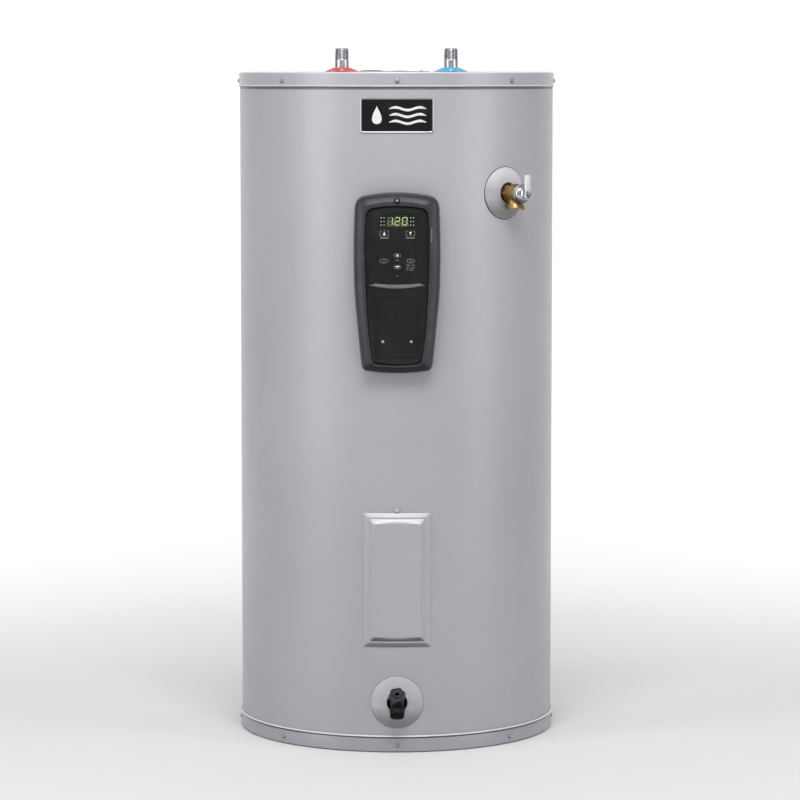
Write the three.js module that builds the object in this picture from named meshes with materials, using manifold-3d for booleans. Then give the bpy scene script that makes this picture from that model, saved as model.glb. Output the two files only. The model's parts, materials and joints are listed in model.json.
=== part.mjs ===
// Electric storage water heater, 23 inches across and about 50 inches tall.
// Millimetres, +Z up. The origin is the centre of the base's underside, and the front faces -Y.
// Pieces on the side wall are made facing front and turned to their place about the Z axis.
import * as THREE from "three";
import { mergeVertices } from "three/addons/utils/BufferGeometryUtils.js";
import Module from "manifold-3d";

const wasm = await Module();
wasm.setup();

// Driving dimensions
const JACKET_RADIUS = 291.4;
const SHEET = 1;
const GAP = 0.3;
const SLIVER = 0.02;
const TOP_Z = 1228.8;
const NIPPLE_TOP_Z = 1272.2;
const NIPPLE_X = 101.6;
const TANK_RADIUS = 240;
const TANK_WALL = 2.6;
const TANK_SHOULDER_Z = 1110;
const TANK_DOME = 65;
const RELIEF_ANGLE = THREE.MathUtils.degToRad(42);
const RELIEF_Z = 1010.7;
const DRAIN_Z = 92.4;
const UPPER_ELEMENT_Z = 760;
const LOWER_ELEMENT_Z = 270;
const PANEL_Z = 315.85;
const RIM_SCREWS = 8;

// Sheet metal
const PAN_RADIUS = JACKET_RADIUS + GAP + SHEET;
const BEAD_RADIUS = PAN_RADIUS + 1.95;
const TOP_SKIRT_Z = 1201.2;
const TOP_SCREW_Z = 1212.4;
const JACKET_BOTTOM_Z = 4.5;
const JACKET_TOP_Z = 1222;
const BASE_FOAM_TOP_Z = 21.7;
const FOAM_RADIUS = JACKET_RADIUS - SHEET - 0.5;
const WALL_FACETS = 48;
const TANK_FACETS = 24;
const HEAD_STEPS = 5;

// Openings in the jacket, as half width and lowest and highest point
const CONTROL_OPENING = { half: 50, low: 720, high: 980 };
const ACCESS_OPENING = { half: 45, low: 215, high: 415 };
const PORT_HOLE_RADIUS = 20;

// Pipe fittings
const PIPE_RADIUS = 13.35;
const PIPE_BORE = 10.46;
const SPUD_RADIUS = 19.5;
const SPUD_BORE = PIPE_RADIUS + 0.4;

// Top fittings
const ANODE = { x: -47, y: 130, hole: 20, cap: 24 };
const JUNCTION = { x: 18, y: -95, half: 40, cover: 41, opening: 37, depth: 36 };

// Control
const CONTROL_FRONT_Y = -328.3;
const RECESS_Y = -319;
const FACE_FRONT_Y = -322;
const COVER = { half: 39.5, low: 715.7, high: 834.7 };
const COVER_SCREWS = { half: 25.4, z: 749 };
const DISPLAY = { x: 0.9, z: 964.6, width: 42, height: 22 };
const KEYS = [
  { name: "key_left", x: -23.5, z: 893.9, width: 17.9, height: 9.7, corner: 4.8 },
  { name: "key_up", x: 0.5, z: 903.6, width: 14.8, height: 8, corner: 3.5 },
  { name: "key_down", x: 0.5, z: 883.1, width: 14.8, height: 8, corner: 3.5 },
  { name: "key_right", x: 24.1, z: 893.9, width: 16.4, height: 9.3, corner: 4.6 },
];

// Front of the collars round the side fittings, as a distance from the tank's axis
const COLLAR_OUT = 300;

// Relief valve, as distances from the tank's axis
const RELIEF_SEAT = 309;
const RELIEF_OUTLET = 318.6;
const BONNET_START = 332.3;
const BONNET_END = 346;
const LEVER_PIVOT = { out: 350, up: -6 };
const LEVER_TAB = { width: 14, length: 29.5, middle: 25.25 };
const PIN_RADIUS = 1.4;

// Drain valve: its handle's axis leans 40 degrees up from level
const DRAIN_OUTLET = 327;
const DRAIN_LEAN = THREE.MathUtils.degToRad(50);
const DRAIN_STEM_START = { out: 319, up: 6.2 };

const finish = (color, roughness, metalness = 0) =>
  new THREE.MeshStandardMaterial({ color, roughness, metalness });

const MATERIALS = {
  jacketPaint: finish(0xb4b6bd, 0.42, 0.25),
  panPaint: finish(0xbcc0c6, 0.4, 0.25),
  foam: finish(0xe6d9a6, 0.95),
  whiteFoam: finish(0xf0f0ec, 0.95),
  enamelledSteel: finish(0x30424e, 0.5, 0.4),
  zincSteel: finish(0xb9bcbd, 0.35, 0.9),
  linerPlastic: finish(0xbfdcd6, 0.45),
  rubber: finish(0x20201f, 0.85),
  redPlastic: finish(0xc43a3c, 0.5),
  bluePlastic: finish(0x2f86c9, 0.5),
  dipPlastic: finish(0xdcdccf, 0.6),
  anodeAluminium: finish(0xa9acae, 0.5, 0.8),
  greyPlastic: finish(0x6c6f73, 0.6),
  copper: finish(0xb87950, 0.35, 0.9),
  darkPlastic: finish(0x1d1d20, 0.6),
  boardGreen: finish(0x1f5a3a, 0.6),
  controlBlack: finish(0x2b2c2f, 0.55),
  faceBlack: finish(0x1c1c1f, 0.35),
  displayGlass: finish(0x10140f, 0.15),
  accentGrey: finish(0x7d7f82, 0.4),
  escutcheonPlastic: finish(0xb2b3b6, 0.5),
  brass: finish(0xb98a3c, 0.3, 0.95),
  chrome: finish(0xd8dadc, 0.1, 1),
  leverSteel: finish(0xc9cbcd, 0.25, 0.95),
  badgeBlack: finish(0x0d0d0f, 0.2),
};

const heater = new THREE.Group();
heater.name = "tank_water_heater";

function addPart(parent, name, geometry, material) {
  const mesh = new THREE.Mesh(geometry, material);
  mesh.name = name;
  parent.add(mesh);
  return mesh;
}

function sideGroup(angle, z) {
  const group = new THREE.Group();
  group.rotation.z = angle;
  group.position.z = z;
  heater.add(group);
  return group;
}

// Boolean joins and cuts
function solidOf(geometry) {
  const bare = new THREE.BufferGeometry();
  bare.setAttribute("position", geometry.getAttribute("position"));
  bare.setIndex(geometry.getIndex());
  const merged = mergeVertices(bare, 1e-4);
  const mesh = new wasm.Mesh({
    numProp: 3,
    vertProperties: merged.getAttribute("position").array,
    triVerts: new Uint32Array(merged.getIndex().array),
  });
  return new wasm.Manifold(mesh);
}

function geometryOf(solid) {
  const mesh = solid.simplify(SLIVER).getMesh();
  const geometry = new THREE.BufferGeometry();
  geometry.setAttribute("position", new THREE.BufferAttribute(mesh.vertProperties, 3));
  geometry.setIndex(new THREE.BufferAttribute(mesh.triVerts, 1));
  geometry.computeVertexNormals();
  return geometry;
}

function join(...geometries) {
  const solids = geometries.map(solidOf);
  return geometryOf(solids.reduce((sum, solid) => sum.add(solid)));
}

function cut(geometry, ...tools) {
  const solids = tools.map(solidOf);
  return geometryOf(solids.reduce((left, tool) => left.subtract(tool), solidOf(geometry)));
}

function common(a, b) {
  return geometryOf(solidOf(a).intersect(solidOf(b)));
}

// A profile of [radius, height] points turned about the Z axis
function turned(profile, facets) {
  const points = profile.map(([radius, z]) => new THREE.Vector2(radius, z));
  return new THREE.LatheGeometry(points, facets).rotateX(Math.PI / 2);
}

function rod(radius, low, high, facets) {
  return turned([[0, low], [radius, low], [radius, high], [0, high]], facets);
}

function tube(outer, inner, low, high, facets) {
  return turned([[inner, low], [outer, low], [outer, high], [inner, high], [inner, low]], facets);
}

function hexagon(acrossFlats, low, high) {
  return rod(acrossFlats / 2 / Math.cos(Math.PI / 6), low, high, 6);
}

// Lays a piece turned about Z so that its height runs outward, along -Y
function outward(geometry) {
  return geometry.rotateX(Math.PI / 2);
}

function block(x0, x1, y0, y1, z0, z1) {
  const box = new THREE.BoxGeometry(x1 - x0, y1 - y0, z1 - z0);
  return box.translate((x0 + x1) / 2, (y0 + y1) / 2, (z0 + z1) / 2);
}

function roundedRectangle(width, height, corner, x = 0, z = 0, PathType = THREE.Shape) {
  const right = x + width / 2;
  const top = z + height / 2;
  const left = x - width / 2;
  const bottom = z - height / 2;
  const path = new PathType();
  path.moveTo(left + corner, bottom);
  path.lineTo(right - corner, bottom);
  path.absarc(right - corner, bottom + corner, corner, -Math.PI / 2, 0);
  path.absarc(right - corner, top - corner, corner, 0, Math.PI / 2);
  path.absarc(left + corner, top - corner, corner, Math.PI / 2, Math.PI);
  path.absarc(left + corner, bottom + corner, corner, Math.PI, Math.PI * 1.5);
  return path;
}

// A shape drawn in the XZ plane and given thickness from yBack forward to yFront
function plate(shape, yBack, yFront, curveSegments = 2) {
  const options = { depth: yBack - yFront, bevelEnabled: false, curveSegments };
  return new THREE.ExtrudeGeometry(shape, options).rotateX(Math.PI / 2).translate(0, yBack, 0);
}

// Joins rings of [x, y, z] points, from the back forward, into one closed body
function loft(rings) {
  const count = rings[0].length;
  const index = [];
  for (let ring = 0; ring < rings.length - 1; ring += 1) {
    for (let i = 0; i < count; i += 1) {
      const a = ring * count + i;
      const b = ring * count + ((i + 1) % count);
      index.push(a, b, a + count, b, b + count, a + count);
    }
  }
  const front = (rings.length - 1) * count;
  for (let i = 1; i < count - 1; i += 1) {
    index.push(0, i + 1, i);
    index.push(front, front + i, front + i + 1);
  }
  const geometry = new THREE.BufferGeometry();
  geometry.setAttribute("position", new THREE.Float32BufferAttribute(rings.flat(2), 3));
  geometry.setIndex(index);
  return geometry;
}

function sweep(curve, radius, sides, steps) {
  const section = new THREE.Shape();
  section.absarc(0, 0, radius, 0, Math.PI * 2);
  const options = { steps, extrudePath: curve, curveSegments: sides / 2 };
  return new THREE.ExtrudeGeometry(section, options);
}

// The jacket's outside as seen from a group turned by angle, with the running gap added
function jacketEnvelope(angle = 0, z = 0) {
  const envelope = rod(JACKET_RADIUS + GAP, -20, NIPPLE_TOP_Z, WALL_FACETS);
  return envelope.rotateZ(-angle).translate(0, 0, -z);
}

function tankHead(radius, dome, z, steps) {
  const points = [];
  for (let i = 0; i <= steps; i += 1) {
    const turn = (i / steps) * (Math.PI / 2);
    points.push([radius * Math.cos(turn), z + dome * Math.sin(turn)]);
  }
  points[steps][0] = 0;
  return points;
}

function tankEnvelope(clearance) {
  const radius = TANK_RADIUS + clearance;
  const head = tankHead(radius, TANK_DOME + clearance, TANK_SHOULDER_Z, HEAD_STEPS);
  return turned([[0, 0], [radius, 0], ...head], TANK_FACETS);
}

function port(radius, from, to, angle, z) {
  return outward(rod(radius, from, to, 16)).rotateZ(angle).translate(0, 0, z);
}

// Shell and insulation
function basePan() {
  const bead = BEAD_RADIUS;
  const inner = PAN_RADIUS - SHEET;
  const profile = [
    [0, 0], [PAN_RADIUS - 2.2, 0], [PAN_RADIUS, 2.4], [PAN_RADIUS, 28.3], [bead, 29.3],
    [bead, 30.7], [PAN_RADIUS, 31.7], [inner, 31.2], [inner, 2.8], [inner - 1.8, 1.2], [0, 1.2],
  ];
  addPart(heater, "base_pan", turned(profile, WALL_FACETS), MATERIALS.panPaint);
}

function topPan() {
  const bead = BEAD_RADIUS;
  const inner = PAN_RADIUS - SHEET;
  const low = TOP_SKIRT_Z;
  const profile = [
    [0, TOP_Z - SHEET], [inner - 1.5, TOP_Z - SHEET], [inner, TOP_Z - 2.5], [inner, low + 1],
    [PAN_RADIUS, low], [bead, low + 0.8], [bead, low + 2.2], [PAN_RADIUS, low + 3.4],
    [PAN_RADIUS, TOP_Z - 2.4], [PAN_RADIUS - 2.4, TOP_Z], [0, TOP_Z],
  ];
  const { x, y, opening } = JUNCTION;
  const below = TOP_Z - 5;
  const above = TOP_Z + 5;
  const pan = cut(
    turned(profile, WALL_FACETS),
    rod(PORT_HOLE_RADIUS, below, above, 16).translate(-NIPPLE_X, 0, 0),
    rod(PORT_HOLE_RADIUS, below, above, 16).translate(NIPPLE_X, 0, 0),
    rod(ANODE.hole, below, above, 16).translate(ANODE.x, ANODE.y, 0),
    block(x - opening, x + opening, y - opening, y + opening, below, above),
    ...screwHoles(),
  );
  addPart(heater, "top_pan", pan, MATERIALS.panPaint);
}

function screwHoles() {
  const holes = [];
  for (let i = 0; i < RIM_SCREWS; i += 1) {
    const hole = outward(rod(2.1, 280, 300, 6)).rotateZ((i / RIM_SCREWS) * Math.PI * 2);
    holes.push(hole.translate(0, 0, TOP_SCREW_Z));
  }
  return holes;
}

function rimScrews() {
  const washer = [[0, 290.1], [1.6, 290.1], [1.6, 293], [4.25, 293], [4.25, 293.7], [0, 293.7]];
  for (let i = 0; i < RIM_SCREWS; i += 1) {
    const group = sideGroup((i / RIM_SCREWS) * Math.PI * 2, TOP_SCREW_Z);
    const screw = join(outward(turned(washer, 12)), outward(hexagon(6.35, 293.4, 296.4)));
    addPart(group, `top_rim_screw_${i + 1}`, screw, MATERIALS.zincSteel);
  }
}

function outerJacket() {
  const wall = tube(JACKET_RADIUS, JACKET_RADIUS - SHEET, JACKET_BOTTOM_Z, JACKET_TOP_Z, WALL_FACETS);
  const windows = [CONTROL_OPENING, ACCESS_OPENING].map(({ half, low, high }) =>
    block(-half, half, -300, -200, low, high),
  );
  const jacket = cut(
    wall,
    ...windows,
    port(PORT_HOLE_RADIUS, 250, 300, RELIEF_ANGLE, RELIEF_Z),
    port(PORT_HOLE_RADIUS, 250, 300, 0, DRAIN_Z),
    ...screwHoles(),
  );
  addPart(heater, "outer_jacket", jacket, MATERIALS.jacketPaint);
}

function baseInsulation() {
  const disc = rod(FOAM_RADIUS - 1.4, 1.5, BASE_FOAM_TOP_Z, 36);
  addPart(heater, "base_insulation", disc, MATERIALS.whiteFoam);
}

function foamInsulation() {
  const low = BASE_FOAM_TOP_Z + GAP;
  const high = TOP_Z - SHEET - GAP;
  const { x, y, half, depth } = JUNCTION;
  const side = half + GAP;
  const pockets = [CONTROL_OPENING, ACCESS_OPENING].map(({ half: width, low: z0, high: z1 }) =>
    block(-width + 2, width - 2, -300, -230, z0 + 2, z1 - 2),
  );
  const nippleWells = [-NIPPLE_X, NIPPLE_X].map((nippleX) =>
    rod(SPUD_RADIUS + 0.5, 1100, high + 5, 16).translate(nippleX, 0, 0),
  );
  const foam = cut(
    rod(FOAM_RADIUS, low, high, WALL_FACETS),
    tankEnvelope(0.5),
    ...pockets,
    ...nippleWells,
    rod(ANODE.hole + 0.5, 1100, high + 5, 16).translate(ANODE.x, ANODE.y, 0),
    block(x - side, x + side, y - side, y + side, high - depth - 0.5, high + 5),
    sweep(conduitPath(), 8.6, 8, 12),
    port(SPUD_RADIUS + 0.5, 230, 300, RELIEF_ANGLE, RELIEF_Z),
    port(SPUD_RADIUS + 0.5, 230, 300, 0, DRAIN_Z),
  );
  addPart(heater, "foam_insulation", foam, MATERIALS.foam);
}

// Water tank with its welded spuds
function innerTank() {
  const inner = TANK_RADIUS - TANK_WALL;
  const bottom = 55;
  const rise = 38;
  const under = tankHead(inner, rise, bottom - TANK_WALL, 3).reverse();
  const over = tankHead(inner, rise, bottom, 3).reverse();
  const outside = [
    ...under, [inner, BASE_FOAM_TOP_Z + 0.6], [TANK_RADIUS, BASE_FOAM_TOP_Z + 0.6],
    ...tankHead(TANK_RADIUS, TANK_DOME, TANK_SHOULDER_Z, HEAD_STEPS),
  ];
  const inside = [...over, ...tankHead(inner, TANK_DOME - TANK_WALL, TANK_SHOULDER_Z, HEAD_STEPS)];
  const shell = cut(turned(outside, TANK_FACETS), turned(inside, TANK_FACETS));
  const elementPorts = [UPPER_ELEMENT_Z, LOWER_ELEMENT_Z];
  const welded = join(
    shell,
    rod(SPUD_RADIUS, 1160, 1183, 16).translate(-NIPPLE_X, 0, 0),
    rod(SPUD_RADIUS, 1160, 1183, 16).translate(NIPPLE_X, 0, 0),
    rod(SPUD_RADIUS, 1155, 1177, 16).translate(ANODE.x, ANODE.y, 0),
    port(SPUD_RADIUS, 232, 252, RELIEF_ANGLE, RELIEF_Z),
    port(SPUD_RADIUS, 232, 252, 0, DRAIN_Z),
    ...elementPorts.map((z) => port(26, 232, 250, 0, z)),
  );
  const tank = cut(
    welded,
    rod(SPUD_BORE, 1100, 1200, 16).translate(-NIPPLE_X, 0, 0),
    rod(SPUD_BORE, 1100, 1200, 16).translate(NIPPLE_X, 0, 0),
    rod(SPUD_BORE, 1100, 1200, 16).translate(ANODE.x, ANODE.y, 0),
    port(SPUD_BORE, 200, 260, RELIEF_ANGLE, RELIEF_Z),
    port(SPUD_BORE, 200, 260, 0, DRAIN_Z),
    ...elementPorts.map((z) => port(17.4, 200, 260, 0, z)),
  );
  addPart(heater, "inner_tank", tank, MATERIALS.enamelledSteel);
}

function anode() {
  const rodPart = join(
    rod(11, 270, 1165, 12),
    rod(13.3, 1160, 1178, 16),
    hexagon(27, 1177.4, 1190),
  );
  addPart(heater, "anode_rod", rodPart.translate(ANODE.x, ANODE.y, 0), MATERIALS.anodeAluminium);
  const low = TOP_Z + GAP;
  const cap = [[0, low], [ANODE.cap, low], [ANODE.cap, low + 0.8], [18, low + 2.2], [0, low + 2.6]];
  addPart(heater, "anode_cap", turned(cap, 16).translate(ANODE.x, ANODE.y, 0), MATERIALS.greyPlastic);
}

// Water connections. The hot flap lies on its seat and opens up; the cold one hangs and opens down.
function waterConnections() {
  const sides = [
    { side: "hot", x: -NIPPLE_X, linerLow: 1205, flapLow: 1215, ring: MATERIALS.redPlastic },
    { side: "cold", x: NIPPLE_X, linerLow: 1197, flapLow: 1211.7, ring: MATERIALS.bluePlastic },
  ];
  const seat = 1213;
  for (const { side, x, linerLow, flapLow, ring } of sides) {
    const group = new THREE.Group();
    group.position.x = x;
    heater.add(group);
    const nipple = [
      [PIPE_BORE, 1168], [PIPE_RADIUS, 1168], [PIPE_RADIUS, 1253.5], [12.6, NIPPLE_TOP_Z - 1],
      [12.2, NIPPLE_TOP_Z], [PIPE_BORE, NIPPLE_TOP_Z], [PIPE_BORE, 1168],
    ];
    const liner = [
      [9.2, linerLow], [10.1, linerLow], [10.1, NIPPLE_TOP_Z - 0.2], [9.2, NIPPLE_TOP_Z - 0.2],
      [9.2, seat + 1.7], [5.6, seat + 1.7], [5.6, seat], [9.2, seat], [9.2, linerLow],
    ];
    const cone = [
      [PIPE_RADIUS + 0.4, TOP_Z + GAP], [31, TOP_Z + GAP], [31, TOP_Z + 1.6],
      [17, TOP_Z + 7.5], [PIPE_RADIUS + 0.4, TOP_Z + 7.5], [PIPE_RADIUS + 0.4, TOP_Z + GAP],
    ];
    const flap = rod(6.8, flapLow, flapLow + 1, 16).translate(-0.3, 0, 0);
    addPart(group, `${side}_nipple`, turned(nipple, 16), MATERIALS.zincSteel);
    addPart(group, `${side}_nipple_liner`, turned(liner, 16), MATERIALS.linerPlastic);
    addPart(group, `${side}_heat_trap_flap`, flap, MATERIALS.rubber);
    addPart(group, `${side}_ring`, turned(cone, 20), ring);
    if (side === "cold") {
      addPart(group, "dip_tube", tube(9.5, 8.3, 150, 1196.7, 16), MATERIALS.dipPlastic);
    }
  }
}

// Supply wiring
function conduitPath() {
  const y = JUNCTION.y - JUNCTION.half;
  return new THREE.CatmullRomCurve3([
    new THREE.Vector3(JUNCTION.x, y - GAP, 1207),
    new THREE.Vector3(JUNCTION.x, y - 45, 1206),
    new THREE.Vector3(JUNCTION.x, -240, 1196),
    new THREE.Vector3(JUNCTION.x, -262, 1168),
    new THREE.Vector3(JUNCTION.x, -265, 1120),
    new THREE.Vector3(JUNCTION.x, -265, 984),
  ]);
}

function junctionBox() {
  const { x, y, half, cover, depth } = JUNCTION;
  const top = TOP_Z - SHEET - GAP;
  const wall = 1.2;
  const inner = half - wall;
  const box = cut(
    block(x - half, x + half, y - half, y + half, top - depth, top),
    block(x - inner, x + inner, y - inner, y + inner, top - depth + wall, top + 5),
    outward(rod(9, 100, 160, 12)).translate(x, 0, 1207),
  );
  addPart(heater, "junction_box", box, MATERIALS.zincSteel);
  const low = TOP_Z + GAP;
  const lid = join(
    block(x - cover, x + cover, y - cover, y + cover, low, low + 1.6),
    rod(11, low + 1, low + 2.2, 16).translate(x - 12, y + 8, 0),
  );
  addPart(heater, "junction_cover", lid, MATERIALS.zincSteel);
  addPart(heater, "wiring_conduit", sweep(conduitPath(), 8, 8, 12), MATERIALS.darkPlastic);
}

// Heating and sensing, behind the two openings
class HalfTurn extends THREE.Curve {
  constructor(radius) {
    super();
    this.radius = radius;
  }
  getPoint(t) {
    const turn = t * Math.PI;
    return new THREE.Vector3(-this.radius * Math.cos(turn), this.radius * Math.sin(turn), 0);
  }
}

function heatingElement(name, z) {
  const element = join(
    outward(rod(17, 238, 251, 20)),
    outward(hexagon(38, 250.3, 260)),
    block(-14, 14, -268, -259, -12, 12),
    ...[-7, 7].map((x) => outward(rod(4, -33, 242, 8)).translate(x, 0, 0)),
    sweep(new HalfTurn(7), 4, 8, 6).translate(0, 32.5, 0),
  );
  addPart(heater, name, element.translate(0, 0, z), MATERIALS.copper);
}

function sensors() {
  const upper = cut(block(-30, 30, -262, -225, 815, 900), tankEnvelope(0.5));
  const lower = cut(outward(rod(12, 225, 252, 16)).translate(0, 0, 350), tankEnvelope(0.5));
  addPart(heater, "upper_limit_control", upper, MATERIALS.darkPlastic);
  addPart(heater, "lower_temperature_sensor", lower, MATERIALS.darkPlastic);
}

function accessPad() {
  const { half, low, high } = ACCESS_OPENING;
  const pad = cut(
    block(-half + 3.5, half - 3.5, -286, -225, low + 4, high - 4),
    tankEnvelope(0.6),
    outward(rod(27, 200, 275, 16)).translate(0, 0, LOWER_ELEMENT_Z),
    outward(rod(14, 200, 258, 16)).translate(0, 0, 350),
  );
  addPart(heater, "access_insulation_pad", pad, MATERIALS.foam);
}

// Stamped panel over the lower opening: two bevels that follow the jacket, up to a flat face
function panelRing(inset, depthAt) {
  const right = 61 - inset;
  const top = 121.95 - inset;
  const corner = 2.5;
  const columns = 6;
  const row = [];
  for (let i = 0; i <= columns; i += 1) {
    row.push((right - corner) * ((2 * i) / columns - 1));
  }
  const outline = [
    ...row.map((x) => [x, -top]), [right, corner - top], [right, top - corner],
    ...row.map((x) => [-x, top]), [-right, top - corner], [-right, corner - top],
  ];
  return outline.map(([x, z]) => [x, depthAt(x), z]);
}

function panelBody(offset) {
  const proud = (height) => (x) => offset - height - Math.sqrt(JACKET_RADIUS ** 2 - x ** 2);
  return loft([
    panelRing(offset, () => -260),
    panelRing(offset, proud(1.8)),
    panelRing(8.5 + offset, proud(5.2)),
    panelRing(10.5 + offset, proud(5.8)),
    panelRing(19.5 + offset, () => offset - 301),
  ]);
}

function lowerAccessPanel() {
  const tab = block(-7, 7, -300, -280, 119, 134);
  const strip = common(tab, tube(JACKET_RADIUS + 1.4, JACKET_RADIUS + GAP, 100, 140, WALL_FACETS));
  const shell = cut(panelBody(0), panelBody(1.2), jacketEnvelope(0, PANEL_Z));
  const screwHole = outward(rod(2.4, 280, 300, 8)).translate(0, 0, 126.7);
  const panel = cut(join(shell, strip), screwHole).translate(0, 0, PANEL_Z);
  addPart(heater, "lower_access_panel", panel, MATERIALS.jacketPaint);
  const screw = [[0, 291.8], [1.9, 291.8], [1.9, 293.1], [4.5, 293.1], [4.5, 294.3], [3, 295.6], [0, 296]];
  const head = outward(turned(screw, 14)).translate(0, 0, PANEL_Z + 126.7);
  addPart(heater, "access_panel_screw", head, MATERIALS.zincSteel);
}

// Control outlines: half of a shield from its lowest point to its highest, then its mirror image
const OUTER_SHIELD = {
  bottom: 691.7, foot: [56, 696.4], footCorner: [63.2, 698.2], hip: [64.4, 711],
  flank: [[75.6, 828], [77.8, 912]], shoulder: [76, 986], shoulderCorner: [75.2, 1004.6],
  crown: [60, 1008.4], top: 1015.2,
};
const INNER_SHIELD = {
  bottom: 706.9, foot: [33, 708.2], footCorner: [41.6, 709.6], hip: [43.8, 717],
  flank: [[51.8, 781.7], [57.1, 905]], shoulder: [55.8, 968], shoulderCorner: [54.8, 983.4],
  crown: [44, 986.4], top: 990.2,
};

function shieldPoints(shield) {
  const vector = ([x, z]) => new THREE.Vector2(x, z);
  const { bottom, foot, footCorner, hip, flank, shoulder, shoulderCorner, crown, top } = shield;
  const curves = [
    [new THREE.QuadraticBezierCurve(vector([0, bottom]), vector([foot[0] / 2, bottom]), vector(foot)), 2],
    [new THREE.QuadraticBezierCurve(vector(foot), vector(footCorner), vector(hip)), 3],
    [new THREE.SplineCurve([hip, ...flank, shoulder].map(vector)), 6],
    [new THREE.QuadraticBezierCurve(vector(shoulder), vector(shoulderCorner), vector(crown)), 3],
    [new THREE.QuadraticBezierCurve(vector(crown), vector([crown[0] / 2, top]), vector([0, top])), 2],
  ];
  const right = curves.flatMap(([curve, steps]) => curve.getPoints(steps).slice(0, -1));
  const points = right.map(({ x, y }) => [x, y]);
  const left = points.slice(1).map(([x, z]) => [-x, z]).reverse();
  return [...points, [0, top], ...left];
}

function shieldOutline(shield, inset) {
  const middle = (shield.top + shield.bottom) / 2;
  const halfHeight = (shield.top - shield.bottom) / 2;
  const halfWidth = shield.flank[1][0];
  const across = (halfWidth - inset) / halfWidth;
  const along = (halfHeight - inset) / halfHeight;
  return shieldPoints(shield).map(([x, z]) => [x * across, middle + (z - middle) * along]);
}

function shieldRing(shield, inset, y) {
  return shieldOutline(shield, inset).map(([x, z]) => [x, y, z]);
}

function controlHousing() {
  const body = loft([
    shieldRing(OUTER_SHIELD, 0, -262), shieldRing(OUTER_SHIELD, 0, -311),
    shieldRing(OUTER_SHIELD, 1.2, -319), shieldRing(OUTER_SHIELD, 4.5, -325),
    shieldRing(OUTER_SHIELD, 9, -327.6), shieldRing(OUTER_SHIELD, 13, CONTROL_FRONT_Y),
  ]);
  const recess = loft([
    shieldRing(INNER_SHIELD, 0, RECESS_Y),
    shieldRing(INNER_SHIELD, -0.5, -326),
    shieldRing(INNER_SHIELD, -2.5, -329),
  ]);
  const through = loft([shieldRing(INNER_SHIELD, 4, -240), shieldRing(INNER_SHIELD, 4, RECESS_Y - 1)]);
  const channel = cut(
    loft([shieldRing(OUTER_SHIELD, 3.5, -240), shieldRing(OUTER_SHIELD, 3.5, -316.5)]),
    loft([shieldRing(INNER_SHIELD, -3.2, -235), shieldRing(INNER_SHIELD, -3.2, -320)]),
  );
  const screwPocket = outward(rod(5.5, 324.5, 330, 14)).translate(0, 0, 1000.7);
  const screwHole = outward(rod(2.1, 300, 330, 8)).translate(0, 0, 1000.7);
  const housing = cut(body, jacketEnvelope(), channel, recess, through, screwPocket, screwHole);
  addPart(heater, "control_housing", housing, MATERIALS.controlBlack);
}

function controlFace() {
  const outline = shieldOutline(INNER_SHIELD, 0.4);
  const shape = new THREE.Shape(outline.map(([x, z]) => new THREE.Vector2(x, z)));
  const hole = (width, height, corner, x, z) =>
    shape.holes.push(roundedRectangle(width, height, corner, x, z, THREE.Path));
  const clear = 2 * GAP;
  const coverZ = (COVER.low + COVER.high) / 2;
  hole(2 * COVER.half + clear, COVER.high - COVER.low + clear, 3.3, 0, coverZ);
  hole(DISPLAY.width + clear, DISPLAY.height + clear, 1.3, DISPLAY.x, DISPLAY.z);
  for (const { x, z, width, height, corner } of KEYS) {
    hole(width + clear, height + clear, corner, x, z);
  }
  const face = plate(shape, RECESS_Y - GAP, FACE_FRONT_Y);
  addPart(heater, "control_face", face, MATERIALS.faceBlack);
}

function controlFittings() {
  const { x, z, width, height } = DISPLAY;
  const display = plate(roundedRectangle(width, height, 1, x, z), -312.5, FACE_FRONT_Y + 0.6);
  addPart(heater, "control_display", display, MATERIALS.displayGlass);
  for (const key of KEYS) {
    const shape = roundedRectangle(key.width, key.height, key.corner - GAP, key.x, key.z);
    addPart(heater, key.name, plate(shape, -319.8, FACE_FRONT_Y - 0.5), MATERIALS.controlBlack);
  }
  const board = join(
    block(-36, 36, -311.2, -309.6, 846, 978),
    block(-30, -6, -310, -298, 856, 884),
    block(4, 30, -310, -300, 858, 878),
    block(-20, 20, -310, -301, 940, 952),
  );
  addPart(heater, "control_board", board, MATERIALS.boardGreen);
  const bar = new THREE.Shape();
  bar.moveTo(-50, 850.4);
  bar.quadraticCurveTo(0, 839, 50, 850.4);
  bar.quadraticCurveTo(43, 852.5, 36, 854.4);
  bar.quadraticCurveTo(0, 848.4, -36, 854.4);
  bar.quadraticCurveTo(-43, 852.5, -50, 850.4);
  const accent = plate(bar, FACE_FRONT_Y - GAP, FACE_FRONT_Y - 1.4, 8);
  addPart(heater, "control_accent_bar", accent, MATERIALS.accentGrey);
}

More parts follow.
